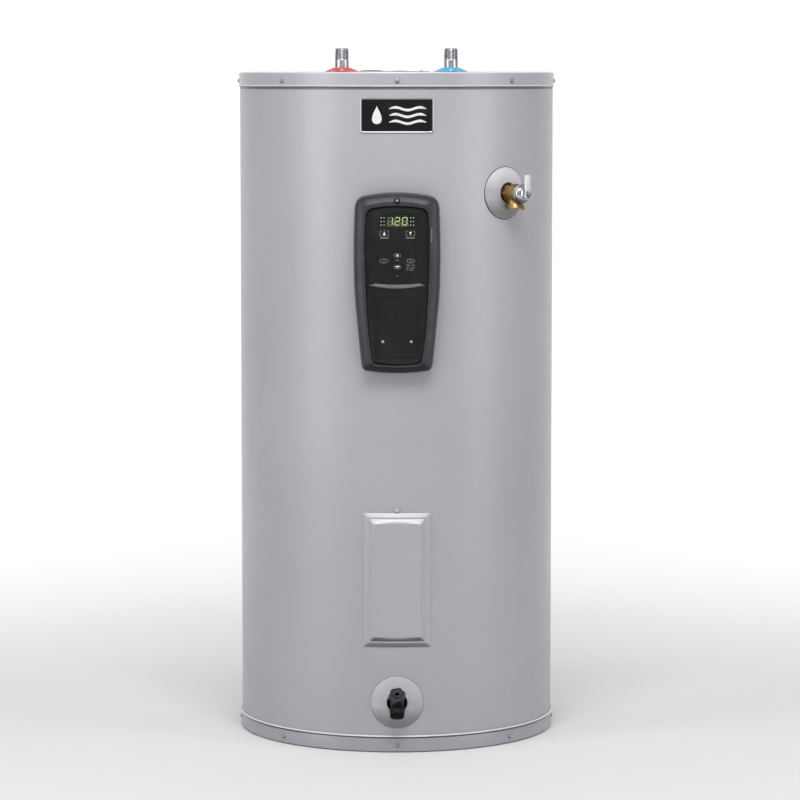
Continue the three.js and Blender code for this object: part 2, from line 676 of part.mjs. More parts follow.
function controlCover() {
  const height = COVER.high - COVER.low;
  const shape = roundedRectangle(2 * COVER.half, height, 3, 0, (COVER.low + COVER.high) / 2);
  const screws = [-COVER_SCREWS.half, COVER_SCREWS.half];
  const pockets = screws.flatMap((x) => [
    outward(rod(3.6, 320.4, 323, 14)).translate(x, 0, COVER_SCREWS.z),
    outward(rod(1.9, 318, 323, 8)).translate(x, 0, COVER_SCREWS.z),
  ]);
  const cover = cut(plate(shape, RECESS_Y - GAP, FACE_FRONT_Y), ...pockets);
  addPart(heater, "control_lower_cover", cover, MATERIALS.faceBlack);
  screws.forEach((x, i) => {
    const profile = [[0, 312], [1.5, 312], [1.5, 320.7], [3.1, 320.7], [3.1, 321.7], [0, 322.1]];
    const screw = outward(turned(profile, 14)).translate(x, 0, COVER_SCREWS.z);
    addPart(heater, `control_cover_screw_${i + 1}`, screw, MATERIALS.zincSteel);
  });
  const profile = [[0, 305], [1.7, 305], [1.7, 324.8], [4, 324.8], [4, 326.4], [0, 327.2]];
  const topScrew = outward(turned(profile, 14)).translate(0, 0, 1000.7);
  addPart(heater, "control_top_screw", topScrew, MATERIALS.darkPlastic);
}

// Plate bent to the wall that rises as a shallow cone to a flat collar round a fitting
function escutcheon(name, group, angle, z, radius) {
  const steps = 24;
  const ring = (r, depthAt) => {
    const points = [];
    for (let i = 0; i < steps; i += 1) {
      const turn = (i / steps) * Math.PI * 2;
      const x = r * Math.cos(turn);
      points.push([x, depthAt(x), r * Math.sin(turn)]);
    }
    return points;
  };
  const proud = (height) => (x) => -height - Math.sqrt(JACKET_RADIUS ** 2 - x ** 2);
  const dish = loft([
    ring(radius, () => -265),
    ring(radius, proud(2)),
    ring(radius - 2, proud(2.8)),
    ring(21.5, () => -COLLAR_OUT),
  ]);
  const collar = cut(dish, jacketEnvelope(angle, z), outward(rod(18.3, 250, 320, 20)));
  addPart(group, name, collar, MATERIALS.escutcheonPlastic);
}

// Temperature and pressure relief valve
class Coil extends THREE.Curve {
  constructor(radius, start, end, turns) {
    super();
    Object.assign(this, { radius, start, end, turns });
  }
  getPoint(t) {
    const turn = t * this.turns * Math.PI * 2;
    const y = -(this.start + t * (this.end - this.start));
    return new THREE.Vector3(this.radius * Math.cos(turn), y, this.radius * Math.sin(turn));
  }
}

function reliefValve() {
  const group = sideGroup(RELIEF_ANGLE, RELIEF_Z);
  escutcheon("relief_escutcheon", group, RELIEF_ANGLE, RELIEF_Z, 47);
  const outletProfile = [
    [0, -28.7], [17.75, -28.7], [17.75, -22], [13.2, -18], [13.2, -6], [0, -6],
  ];
  const barrel = [[0, 310], [16, 310], [17.2, 312], [17.2, 332], [0, 332]];
  const passages = [
    outward(rod(6.5, 225, RELIEF_SEAT + 1, 16)),
    outward(rod(11, RELIEF_SEAT, 335, 16)),
    rod(9, -25, -3, 16).translate(0, -RELIEF_OUTLET, 0),
    rod(12.5, -40, -20, 16).translate(0, -RELIEF_OUTLET, 0),
  ];
  const body = cut(
    join(
      outward(rod(PIPE_RADIUS, 231, 298, 16)),
      outward(hexagon(30, 297.5, 311)),
      outward(turned(barrel, 16)),
      turned(outletProfile, 16).translate(0, -RELIEF_OUTLET, 0),
    ),
    ...passages,
  );
  addPart(group, "relief_valve_body", body, MATERIALS.brass);
  reliefTrim(group);
  testLever(group);
}

function reliefTrim(group) {
  const dome = [
    [11.5, BONNET_START], [17.35, BONNET_START], [17.35, 339], [15.8, 343], [12, 345.4],
    [9, BONNET_END], [3, BONNET_END], [3, 343.8], [11.5, 343.8], [11.5, BONNET_START],
  ];
  const { out, up } = LEVER_PIVOT;
  const ears = [-7.8, 6.2].map((x) => block(x, x + 1.6, -out - 3, -344, up - 3, up + 3));
  const bonnet = cut(join(outward(turned(dome, 16)), ...ears), pinHole());
  addPart(group, "relief_valve_bonnet", bonnet, MATERIALS.chrome);
  const stem = [
    [0, 150], [4, 150], [4, RELIEF_SEAT + GAP], [9.5, RELIEF_SEAT + GAP], [9.5, 312], [2.2, 312.6],
    [2.2, 353.5], [3.6, 354], [3.6, 356], [0, 356.3],
  ];
  addPart(group, "relief_valve_stem", outward(turned(stem, 12)), MATERIALS.brass);
  const spring = sweep(new Coil(7, 313.8, 342.4, 4.5), 0.9, 4, 45);
  addPart(group, "relief_valve_spring", spring, MATERIALS.zincSteel);
}

function pinHole() {
  return rod(PIN_RADIUS + GAP, -20, 20, 12)
    .rotateY(Math.PI / 2)
    .translate(0, -LEVER_PIVOT.out, LEVER_PIVOT.up);
}

function testLever(group) {
  const { out, up } = LEVER_PIVOT;
  const cheekShape = new THREE.Shape();
  cheekShape.absarc(0, 0, 3, Math.PI, Math.PI * 2);
  cheekShape.lineTo(1.6, 6);
  cheekShape.lineTo(1.6, 19);
  cheekShape.lineTo(-1.6, 19);
  cheekShape.lineTo(-1.6, 6);
  const cheeks = [4.2, -5.7].map((x) => {
    const options = { depth: 1.5, bevelEnabled: false, curveSegments: 8 };
    const cheek = new THREE.ExtrudeGeometry(cheekShape, options);
    return cheek.rotateY(Math.PI / 2).rotateX(Math.PI / 2).translate(x, -out, up);
  });
  const tabShape = roundedRectangle(LEVER_TAB.width, LEVER_TAB.length, 3, 0, LEVER_TAB.middle);
  const tab = plate(tabShape, -out + 0.8, -out - 0.8, 4);
  addPart(group, "relief_test_lever", cut(join(...cheeks, tab), pinHole()), MATERIALS.leverSteel);
  const pin = rod(PIN_RADIUS, -8.8, 8.8, 12).rotateY(Math.PI / 2).translate(0, -out, up);
  addPart(group, "relief_lever_pin", pin, MATERIALS.zincSteel);
}

// Drain valve with its sloping handle
function alongDrainStem(geometry) {
  const { out, up } = DRAIN_STEM_START;
  return geometry.rotateX(DRAIN_LEAN).translate(0, -out, up);
}

function drainValve() {
  const group = sideGroup(0, DRAIN_Z);
  escutcheon("drain_escutcheon", group, 0, DRAIN_Z, 47.5);
  const barrel = [[0, 300], [11.5, 300], [11.5, 324], [9.5, 328.5], [6, 330.5], [0, 330.5]];
  const outletProfile = [
    [0, -23.4], [12.6, -23.4], [13.3, -22], [13.3, -11.6], [14, -10.6], [14, -8.4], [11.8, -4.6],
    [10.6, -1], [0, -1],
  ];
  const body = cut(
    join(
      outward(rod(PIPE_RADIUS, 231, 302, 16)),
      outward(turned(barrel, 16)),
      turned(outletProfile, 16).translate(0, -DRAIN_OUTLET, 0),
      alongDrainStem(rod(9.5, -8, 13, 16)),
    ),
    outward(rod(5.4, 225, 320, 12)),
    rod(9.3, -30, -8, 16).translate(0, -DRAIN_OUTLET, 0),
    rod(5.8, -20, -1, 12).translate(0, -DRAIN_OUTLET, 0),
    alongDrainStem(rod(6.6, -9.8, 15, 16)),
  );
  addPart(group, "drain_valve_body", body, MATERIALS.darkPlastic);
  const plug = [[0, -9.4], [5.9, -9.4], [5.9, -6], [3.2, -5.4], [3.2, 17.5], [0, 17.5]];
  addPart(group, "drain_valve_plug", alongDrainStem(turned(plug, 12)), MATERIALS.rubber);
  const knob = cut(
    join(lobedHandle(14.6, 0.9, 6).translate(0, 0, 14), rod(7, 25, 28, 12)),
    rod(3.6, 10, 30, 12),
  );
  addPart(group, "drain_valve_knob", alongDrainStem(knob), MATERIALS.darkPlastic);
}

function lobedHandle(radius, lobe, lobes) {
  const points = [];
  const steps = 24;
  for (let i = 0; i < steps; i += 1) {
    const turn = (i / steps) * Math.PI * 2;
    const reach = radius + lobe * Math.cos(lobes * turn);
    points.push(new THREE.Vector2(reach * Math.cos(turn), reach * Math.sin(turn)));
  }
  return new THREE.ExtrudeGeometry(new THREE.Shape(points), { depth: 12, bevelEnabled: false });
}

function badge() {
  const half = 65.7;
  const skin = tube(JACKET_RADIUS + 2.5, JACKET_RADIUS + GAP, 1120.4, 1182.4, WALL_FACETS);
  const plaque = common(skin, block(-half, half, -320, -200, 1100, 1200));
  addPart(heater, "badge", plaque, MATERIALS.badgeBlack);
}

basePan();
baseInsulation();
innerTank();
foamInsulation();
outerJacket();
topPan();
rimScrews();
waterConnections();
anode();
junctionBox();
heatingElement("upper_element", UPPER_ELEMENT_Z);
heatingElement("lower_element", LOWER_ELEMENT_Z);
sensors();
accessPad();
lowerAccessPanel();
controlHousing();
controlFace();
controlFittings();
controlCover();
reliefValve();
drainValve();
badge();

export default heater;
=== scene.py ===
# Electric storage water heater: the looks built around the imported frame. Blender units are metres, +Z is up
# and -Y is the front. Shapes are worked out in millimetres and scaled once, in new_mesh.
import json
import math

import bmesh
import bpy
from mathutils import Matrix, Vector


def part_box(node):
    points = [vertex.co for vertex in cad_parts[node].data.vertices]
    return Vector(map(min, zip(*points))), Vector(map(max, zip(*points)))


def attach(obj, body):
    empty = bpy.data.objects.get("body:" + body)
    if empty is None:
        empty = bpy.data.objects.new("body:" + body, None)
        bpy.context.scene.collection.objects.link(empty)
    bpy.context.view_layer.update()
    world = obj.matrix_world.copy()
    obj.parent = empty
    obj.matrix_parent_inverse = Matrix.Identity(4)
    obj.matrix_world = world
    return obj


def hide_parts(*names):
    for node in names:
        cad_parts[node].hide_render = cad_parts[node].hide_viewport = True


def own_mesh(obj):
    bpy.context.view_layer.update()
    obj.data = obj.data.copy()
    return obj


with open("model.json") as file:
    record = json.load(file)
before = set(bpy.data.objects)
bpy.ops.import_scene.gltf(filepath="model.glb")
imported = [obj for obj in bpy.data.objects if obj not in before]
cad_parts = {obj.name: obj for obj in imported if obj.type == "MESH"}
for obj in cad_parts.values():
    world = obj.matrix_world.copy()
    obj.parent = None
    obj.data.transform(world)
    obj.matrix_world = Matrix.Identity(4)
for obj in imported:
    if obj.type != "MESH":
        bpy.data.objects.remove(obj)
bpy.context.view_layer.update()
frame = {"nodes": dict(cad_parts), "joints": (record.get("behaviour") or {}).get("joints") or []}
scene = bpy.context.scene
BODY = "heater"
TURN = 2 * math.pi


def node_box(name):
    low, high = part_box(name)
    return Vector(low) * 1000, Vector(high) * 1000


# Sizes from the frame, in millimetres
jacket_low, jacket_high = node_box("outer_jacket")
JACKET_RADIUS = jacket_high.x
pan_low, pan_high = node_box("top_pan")
TOP_Z = pan_high.z
TOP_BEAD_LOW = pan_low.z
BEAD_RADIUS = pan_high.x
PAN_RADIUS = BEAD_RADIUS - 1.95
BASE_RIM_Z = node_box("base_pan")[1].z
TOP_SCREW_Z = sum(v.z for v in node_box("top_rim_screw_1")) / 2
NIPPLE_X = sum(v.x for v in node_box("cold_nipple")) / 2
NIPPLE_TOP = node_box("cold_nipple")[1].z
RELIEF_Z = sum(v.z for v in node_box("relief_escutcheon")) / 2
DRAIN_Z = sum(v.z for v in node_box("drain_escutcheon")) / 2
RELIEF_AXIS = next(joint["axis"] for joint in frame["joints"] if joint["name"] == "relief_stem_lift")
RELIEF_ANGLE = math.atan2(RELIEF_AXIS[0], -RELIEF_AXIS[1])


# ---------------------------------------------------------------- mesh tools
def circle_row(radius, z, steps=72):
    return [(radius * math.sin(TURN * i / steps), -radius * math.cos(TURN * i / steps), z)
            for i in range(steps)]


def turned(profile, steps=96, closed=False):
    """A profile of (radius, height) points turned about Z. Points on the axis become one vertex."""
    verts, faces, rings = [], [], []
    for radius, z in profile:
        if radius < 1e-6:
            rings.append([len(verts)] * steps)
            verts.append((0.0, 0.0, z))
            continue
        rings.append(list(range(len(verts), len(verts) + steps)))
        verts += circle_row(radius, z, steps)
    pairs = list(zip(rings, rings[1:]))
    if closed:
        pairs.append((rings[-1], rings[0]))
    for below, above in pairs:
        for i in range(steps):
            j = (i + 1) % steps
            corners = [below[i], below[j], above[j], above[i]]
            face = list(dict.fromkeys(corners))
            if len(face) > 2:
                faces.append(face)
    return verts, faces


def soften(points, radius, steps=4, closed=True):
    """Rounds each corner of an outline with a short curve."""
    result = []
    count = len(points)
    for i, corner in enumerate(points):
        if not closed and i in (0, count - 1):
            result.append(corner)
            continue
        before, after = Vector(points[i - 1]), Vector(points[(i + 1) % count])
        here = Vector(corner)
        back, ahead = before - here, after - here
        reach = min(radius, back.length * 0.48, ahead.length * 0.48)
        if reach < 1e-4:
            result.append(corner)
            continue
        start, end = here + back.normalized() * reach, here + ahead.normalized() * reach
        for k in range(steps + 1):
            t = k / steps
            point = start * (1 - t) ** 2 + here * 2 * t * (1 - t) + end * t**2
            result.append(tuple(point))
    return result


def loops(rows, closed_rows=False, cap_start=False, cap_end=False):
    """Skins rows of points. Each row is a closed ring of the same count."""
    count = len(rows[0])
    verts = [tuple(point) for row in rows for point in row]
    faces = []
    last = len(rows) if closed_rows else len(rows) - 1
    for r in range(last):
        a, b = r * count, ((r + 1) % len(rows)) * count
        for i in range(count):
            j = (i + 1) % count
            faces.append([a + i, a + j, b + j, b + i])
    if cap_start:
        faces.append(list(reversed(range(count))))
    if cap_end:
        faces.append([(len(rows) - 1) * count + i for i in range(count)])
    return verts, faces


def merged(*parts):
    verts, faces = [], []
    for part_verts, part_faces in parts:
        start = len(verts)
        verts.extend(part_verts)
        faces.extend([[start + i for i in face] for face in part_faces])
    return verts, faces


def moved(part, matrix):
    verts, faces = part
    return [tuple(matrix @ Vector(v)) for v in verts], faces


def shifted(part, x=0.0, y=0.0, z=0.0):
    return moved(part, Matrix.Translation((x, y, z)))


def side_place(angle, z):
    return Matrix.Translation((0, 0, z)) @ Matrix.Rotation(angle, 4, "Z")


def outward(part, angle=0.0, z=0.0):
    """Lays a piece turned about Z on its side: its height runs outward, at an angle from the front."""
    return moved(part, side_place(angle, z) @ Matrix.Rotation(math.pi / 2, 4, "X"))


def spun(profile, steps, angle=0.0, z=0.0):
    """A turned piece whose axis points outward from the tank."""
    return outward(turned(profile, steps), angle, z)


def raised(profile, base):
    """A profile of (radius, rise) points with its heights counted from a base."""
    return [(radius, base + rise) for radius, rise in profile]


def ring_points(x, z, radius, steps=32):
    return [(x + radius * math.cos(TURN * k / steps), z + radius * math.sin(TURN * k / steps))
            for k in range(steps)]


def prism(outline, low, high, bevel=0.6):
    """An outline in X and Y given height along Z, with rounded upper and lower edges."""
    middle = sum((Vector(p) for p in outline), Vector((0, 0))) / len(outline)
    rows = []
    levels = [(low, bevel), (low + bevel * 0.3, bevel * 0.3), (low + bevel, 0)]
    levels += [(high - bevel, 0), (high - bevel * 0.3, bevel * 0.3), (high, bevel)]
    for z, inset in levels:
        row = []
        for point in outline:
            arm = Vector(point) - middle
            arm *= max(1 - inset / max(arm.length, 1e-6), 0.05)
            row.append((middle.x + arm.x, middle.y + arm.y, z))
        rows.append(row)
    return loops(rows, cap_start=True, cap_end=True)


def hexagon_outline(across):
    radius = across / 2 / math.cos(math.pi / 6)
    return soften(ring_points(0, 0, radius, 6), across * 0.05, 3)


def rounded_box_outline(width, height, corner, x=0.0, z=0.0, steps=5):
    w, h = width / 2, height / 2
    corners = [(x - w, z - h), (x + w, z - h), (x + w, z + h), (x - w, z + h)]
    return soften(corners, corner, steps)


def front_plate(outline, back_y, front_y, bevel=0.3):
    """An outline in X and Z given thickness from back_y forward to front_y, edges rounded."""
    part = prism(outline, -back_y, -front_y, bevel)
    return moved(part, Matrix.Rotation(math.pi / 2, 4, "X"))


def swept(path, radius, sides=12):
    """A round tube along a list of points, capped at both ends."""
    points = [Vector(p) for p in path]
    rows, side = [], None
    for i, point in enumerate(points):
        ahead = (points[min(i + 1, len(points) - 1)] - points[max(i - 1, 0)]).normalized()
        if side is None:
            side = ahead.orthogonal().normalized()
        side = (side - ahead * side.dot(ahead)).normalized()
        up = ahead.cross(side)
        rows.append([tuple(point + side * x + up * y) for x, y in ring_points(0, 0, radius, sides)])
    return loops(rows, cap_start=True, cap_end=True)


def threaded(root, pitch, depth, low, high, taper=0.0, steps=64, fade=1.0):
    """A helical thread on a cylinder of radius root at low, as rows to be skinned."""
    rows = []
    count = int((high - low) / pitch * 10)
    for k in range(count + 1):
        z = low + (high - low) * k / count
        ramp = min(1.0, (z - low) / (fade * pitch), (high - z) / (0.6 * pitch))
        row = []
        for i in range(steps):
            turn = TURN * i / steps
            phase = (z / pitch - i / steps) % 1.0
            ridge = min(1.0, max(0.0, 1.35 - 2.7 * abs(phase - 0.5)))
            r = root - taper * (z - low) + depth * (ridge - 1.0) * max(ramp, 0.0)
            row.append((r * math.sin(turn), -r * math.cos(turn), z))
        rows.append(row)
    return rows


def smooth(mesh, degrees):
    mesh.shade_smooth()
    mesh.set_sharp_from_angle(angle=math.radians(degrees))


def new_mesh(name, part, material, smooth_degrees=40):
    verts, faces = part
    mesh = bpy.data.meshes.new(name)
    mesh.from_pydata([(x * 0.001, y * 0.001, z * 0.001) for x, y, z in verts], [], faces)
    mesh.update()
    tool = bmesh.new()
    tool.from_mesh(mesh)
    bmesh.ops.recalc_face_normals(tool, faces=tool.faces)
    tool.to_mesh(mesh)
    tool.free()
    mesh.materials.append(material)
    piece = bpy.data.objects.new(name, mesh)
    scene.collection.objects.link(piece)
    smooth(mesh, smooth_degrees)
    return piece


def add_piece(name, part, material, nodes=(), body=BODY, smooth_degrees=40):
    piece = new_mesh(name, part, material, smooth_degrees)
    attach(piece, body)
    if nodes:
        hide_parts(*nodes)
    return piece


def combine(piece, operation, parts):
    """Joins shapes to a piece, or cuts them out of it, one after another."""
    for number, part in enumerate(parts):
        tool = new_mesh(f"{piece.name}_tool_{number}", part, piece.data.materials[0])
        modifier = piece.modifiers.new("combine", "BOOLEAN")
        modifier.operation = operation
        modifier.solver = "MANIFOLD"
        modifier.object = tool
        evaluated = piece.evaluated_get(bpy.context.evaluated_depsgraph_get())
        result = bpy.data.meshes.new_from_object(evaluated)
        piece.modifiers.clear()
        spent = (piece.data, tool.data)
        piece.data = result
        bpy.data.objects.remove(tool)
        for mesh in spent:
            bpy.data.meshes.remove(mesh)
    smooth(piece.data, 30)


def carve(piece, *parts):
    combine(piece, "DIFFERENCE", parts)


def fuse(piece, *parts):
    combine(piece, "UNION", parts)


# ---------------------------------------------------------------- materials
class Shader:
    """A short way to write a procedural material: every link and every constant is set through it."""

    def __init__(self, name):
        self.material = bpy.data.materials.new(name)
        self.material.use_nodes = True
        self.nodes = self.material.node_tree.nodes
        self.links = self.material.node_tree.links
        self.surface = self.nodes["Principled BSDF"]
        self.place = self.nodes.new("ShaderNodeTexCoord").outputs["Object"]

    def add(self, kind, inputs=None, **settings):
        node = self.nodes.new("ShaderNode" + kind)
        for key, value in settings.items():
            setattr(node, key, value)
        for key, value in (inputs or {}).items():
            self.put(node.inputs[key], value)
        return node

    def put(self, socket, value):
        if isinstance(value, bpy.types.NodeSocket):
            self.links.new(value, socket)
        else:
            socket.default_value = value

    def set(self, **values):
        for key, value in values.items():
            self.put(self.surface.inputs[key.replace("_", " ")], value)

    def stretched(self, scale):
        return self.add("Mapping", {"Vector": self.place, "Scale": scale}).outputs["Vector"]

    def noise(self, scale, detail=4.0, roughness=0.55, place=None):
        inputs = {"Vector": place or self.place, "Scale": scale, "Detail": detail, "Roughness": roughness}
        return self.add("TexNoise", inputs).outputs["Fac"]

    def cells(self, scale, output="Distance", place=None):
        inputs = {"Vector": place or self.place, "Scale": scale}
        return self.add("TexVoronoi", inputs).outputs[output]

    def between(self, value, low, high, out_low=0.0, out_high=1.0):
        inputs = {"Value": value, "From Min": low, "From Max": high, "To Min": out_low, "To Max": out_high}
        return self.add("MapRange", inputs).outputs["Result"]

    def mix(self, amount, a, b):
        node = self.add("Mix", data_type="RGBA")
        self.put(node.inputs["Factor"], amount)
        self.put(node.inputs[6], a)
        self.put(node.inputs[7], b)
        return node.outputs[2]

    def math(self, operation, a, b=0.0):
        node = self.add("Math", operation=operation)
        self.put(node.inputs[0], a)
        self.put(node.inputs[1], b)
        return node.outputs[0]

    def height(self):
        return self.add("SeparateXYZ", {"Vector": self.place}).outputs["Z"]

    def height_band(self, low, high, soft):
        """A mask between two heights in metres: 1 between them, fading to 0 over a soft edge, broken a little
        by noise. It places painted shade and painted highlight bands.
        """
        rise = self.between(self.height(), low - soft, low)
        fall = self.between(self.height(), high, high + soft, 1.0, 0.0)
        patch = self.between(self.noise(60.0, 5.0, 0.7), 0.25, 0.6, 0.8, 1.0)
        return self.math("MULTIPLY", self.math("MULTIPLY", rise, fall), patch)

    def upward(self):
        return self.add("SeparateXYZ", {"Vector": self.add("NewGeometry").outputs["Normal"]}).outputs["Z"]

    def painted_underside_shade(self, tone, amount, colour=0x3c3b3e, full_tilt=0.5):
        """Painted shade: faces darken as they turn down, more the further they turn."""
        share = self.between(self.upward(), -0.24 * full_tilt, -full_tilt, 0.0, amount)
        return self.mix(share, tone, rgba(colour))

    def painted_top_light(self, tone, amount, full_tilt=0.5):
        """Painted light: faces that lean back fade to white, more the further they lean."""
        share = self.between(self.upward(), 0.24 * full_tilt, full_tilt, 0.0, amount)
        return self.mix(share, tone, rgba(0xf8f8fc))

    def bump(self, height, strength, distance, below=None):
        inputs = {"Height": height, "Strength": strength, "Distance": distance}
        if below is not None:
            inputs["Normal"] = below
        return self.add("Bump", inputs).outputs["Normal"]


def rgba(hex_colour, share=1.0):
    """A display colour such as 0xb4b6bd as linear light."""
    parts = [(hex_colour >> shift & 255) / 255 for shift in (16, 8, 0)]
    linear = [((c + 0.055) / 1.055) ** 2.4 if c > 0.04045 else c / 12.92 for c in parts]
    return tuple(c * share for c in linear) + (1.0,)


def surface(name, colour, roughness, metallic=0.0, drift=0.10, grain=0.0004, grain_scale=900.0,
            mottle_scale=14.0, scuffs=0.25, coat=0.0, stretch=(1, 1, 1), dirt=0.0):
    """A finish with slow colour drift, mottling, uneven roughness, fine relief, scuffs and some dirt."""
    s = Shader(name)
    place = s.stretched(stretch)
    slow = s.noise(mottle_scale, 3.0, 0.5, place)
    fine = s.noise(mottle_scale * 9, 5.0, 0.6, place)
    tone = s.mix(s.between(slow, 0.3, 0.7), rgba(colour, 1 - drift), rgba(colour, 1 + drift * 0.5))
    tone = s.mix(s.between(fine, 0.35, 0.65, 0.0, drift * 1.2), tone, rgba(colour, 0.72))
    wear = s.between(s.noise(mottle_scale * 4, 6.0, 0.75, s.stretched((1.0, 1.0, 0.25))), 0.62, 0.72)
    wear = s.math("MULTIPLY", wear, scuffs)
    if dirt:
        smudge = s.between(s.noise(mottle_scale * 1.7, 6.0, 0.7), 0.48, 0.75, 0.0, dirt)
        tone = s.mix(smudge, tone, rgba(0x6a655c))
    tone = s.mix(s.math("MULTIPLY", wear, 0.5), tone, rgba(colour, 1.25))
    rough = s.between(fine, 0.3, 0.7, roughness * 0.86, roughness * 1.16)
    rough = s.math("ADD", rough, s.math("MULTIPLY", wear, 0.18))
    relief = s.noise(grain_scale, 2.0, 0.5, place)
    normal = s.bump(relief, 0.35, grain)
    normal = s.bump(slow, 0.12, grain * 4, normal)
    s.set(Base_Color=tone, Roughness=rough, Metallic=metallic, Normal=normal)
    if coat:
        s.set(Coat_Weight=coat, Coat_Roughness=0.12)
    return s.material


def jacket_paint():
    """Baked enamel: light violet grey with fine orange peel and slow drift. Painted shade darkens it towards
    the base, under the top bead and on faces that turn down; painted light whitens faces that lean back.
    """
    s = Shader("jacket_paint")
    slow = s.noise(3.2, 2.0, 0.4)
    peel = s.noise(420.0, 2.0, 0.5)
    mottle = s.noise(38.0, 5.0, 0.65)
    tone = s.mix(s.between(slow, 0.35, 0.65), rgba(0xb1b0b7), rgba(0xb7b6bd))
    tone = s.mix(s.between(mottle, 0.4, 0.7, 0.0, 0.10), tone, rgba(0xa3a2a9))
    # Painted shade: the enamel darkens towards the base, as light falls from above.
    low = s.between(s.height(), 0.05, 1.0, 0.42, 0.0)
    tone = s.mix(low, tone, rgba(0x9d9ba1))
    # Painted shadow: a dark band just under the top pan's bead.
    bead = TOP_BEAD_LOW * 0.001
    tone = s.mix(s.height_band(bead - 0.0034, bead + 0.001, 0.0010), tone, rgba(0x6d6c72))
    rub = s.between(s.noise(26.0, 8.0, 0.8, s.stretched((1.0, 1.0, 0.16))), 0.66, 0.74, 0.0, 0.22)
    # Over the rubbed streaks: painted shade on faces that turn down, painted light on faces that lean back.
    tone = s.painted_top_light(s.painted_underside_shade(s.mix(rub, tone, rgba(0xc6c6cc)), 0.8), 0.42)
    rough = s.between(mottle, 0.3, 0.7, 0.36, 0.44)
    rough = s.math("ADD", rough, s.math("MULTIPLY", rub, 0.25))
    normal = s.bump(peel, 0.10, 0.0003)
    normal = s.bump(slow, 0.08, 0.004, normal)
    s.set(Base_Color=tone, Roughness=rough, Metallic=0.12, Normal=normal, Coat_Weight=0.10,
          Coat_Roughness=0.2)
    return s.material


def pan_paint():
    """The same enamel on pressed steel, dusty on the flat top. Painted highlights run along its beads and top
    edge; painted shade darkens it towards the base, under the lower bead, at the foot and on faces that turn
    down.
    """
    s = Shader("pan_paint")
    slow = s.noise(5.0, 3.0, 0.5)
    peel = s.noise(500.0, 2.0, 0.5)
    mottle = s.noise(55.0, 6.0, 0.65)
    tone = s.mix(s.between(slow, 0.35, 0.65), rgba(0xb0afb6), rgba(0xb8b7be))
    dust = s.math("MULTIPLY", s.between(s.upward(), 0.7, 0.95), s.between(mottle, 0.35, 0.7, 0.05, 0.4))
    tone = s.mix(dust, tone, rgba(0xa9a59d))
    # Painted shade: darker towards the base, near the floor.
    tone = s.mix(s.between(s.height(), 0.02, 0.06, 0.5, 0.0), tone, rgba(0x8d8c92))
    # Painted shadow in the groove under the lower bead.
    tone = s.mix(s.height_band(0.0262, 0.0282, 0.0008), tone, rgba(0x55545a))
    # Painted highlights: near-white bands along both beads and along the top edge.
    bead, edge = TOP_BEAD_LOW * 0.001, TOP_Z * 0.001
    for low, high in ((0.0286, 0.0312), (bead + 0.0007, bead + 0.0034), (edge - 0.0020, edge - 0.0006)):
        tone = s.mix(s.height_band(low, high, 0.0006), tone, rgba(0xe9e9ee))
    # Painted shade: a dark line at the foot where it meets the floor, and on faces that turn down.
    tone = s.painted_underside_shade(s.mix(s.height_band(0.0, 0.0018, 0.0010), tone, rgba(0x6a696e)), 0.8)
    rough = s.math("ADD", s.between(mottle, 0.3, 0.7, 0.32, 0.42), s.math("MULTIPLY", dust, 0.5))
    normal = s.bump(peel, 0.10, 0.0003)
    s.set(Base_Color=tone, Roughness=rough, Metallic=0.12, Normal=normal, Coat_Weight=0.15,
          Coat_Roughness=0.18)
    return s.material


def galvanised(name="zinc_steel", colour=0xc3c6ca, roughness=0.34, spangle=260.0):
    """Zinc coated steel: spangled cells of differing tone and gloss, with dull streaks and painted shade on
    faces that turn down.
    """
    s = Shader(name)
    cell = s.cells(spangle, "Color")
    shade = s.add("SeparateColor", {"Color": cell}).outputs[0]
    streak = s.noise(60.0, 6.0, 0.7, s.stretched((1, 1, 0.3)))
    tone = s.mix(shade, rgba(colour, 0.9), rgba(colour, 1.02))
    # Dull streaks, then painted shade on faces that turn down.
    tone = s.painted_underside_shade(s.mix(s.between(streak, 0.5, 0.8, 0.0, 0.3), tone, rgba(0x9a9b9e)), 0.8)
    rough = s.math("ADD", s.between(shade, 0.0, 1.0, roughness * 0.88, roughness * 1.1),
                   s.between(streak, 0.45, 0.8, 0.0, 0.12))
    normal = s.bump(s.noise(1400.0, 2.0), 0.08, 0.0001)
    s.set(Base_Color=tone, Roughness=rough, Metallic=1.0, Normal=normal)
    return s.material


def cast_brass():
    """Brass with a slightly dull cast skin and patches of dark tarnish, with painted shade on faces that turn
    down.
    """
    s = Shader("brass")
    cast = s.noise(700.0, 4.0, 0.6)
    stain = s.noise(45.0, 6.0, 0.7)
    tone = s.mix(s.between(stain, 0.35, 0.7), rgba(0xae9764), rgba(0x886f44))
    tone = s.mix(s.between(s.noise(150.0, 4.0, 0.7), 0.55, 0.7, 0.0, 0.35), tone, rgba(0x6e5128))
    # Painted shade on faces that turn down.
    tone = s.painted_underside_shade(tone, 0.6, 0x4a3c1e)
    rough = s.between(stain, 0.3, 0.7, 0.36, 0.50)
    s.set(Base_Color=tone, Roughness=rough, Metallic=1.0, Normal=s.bump(cast, 0.25, 0.00025))
    return s.material


def polished(name, colour, roughness):
    """Plated or polished steel with faint hairlines and finger smears, and painted shade on faces that turn
    down.
    """
    s = Shader(name)
    lines = s.noise(900.0, 3.0, 0.6, s.stretched((1.0, 1.0, 0.04)))
    smear = s.noise(70.0, 5.0, 0.7)
    # Smears, then painted shade on faces that turn down.
    tone = s.painted_underside_shade(s.mix(s.between(smear, 0.3, 0.7), rgba(colour, 0.9), rgba(colour, 1.0)), 0.85)
    rough = s.math("ADD", s.between(smear, 0.35, 0.75, roughness * 0.7, roughness * 1.5),
                   s.between(lines, 0.5, 0.8, 0.0, roughness * 0.5))
    s.set(Base_Color=tone, Roughness=rough, Metallic=1.0, Normal=s.bump(lines, 0.12, 0.0001))
    return s.material


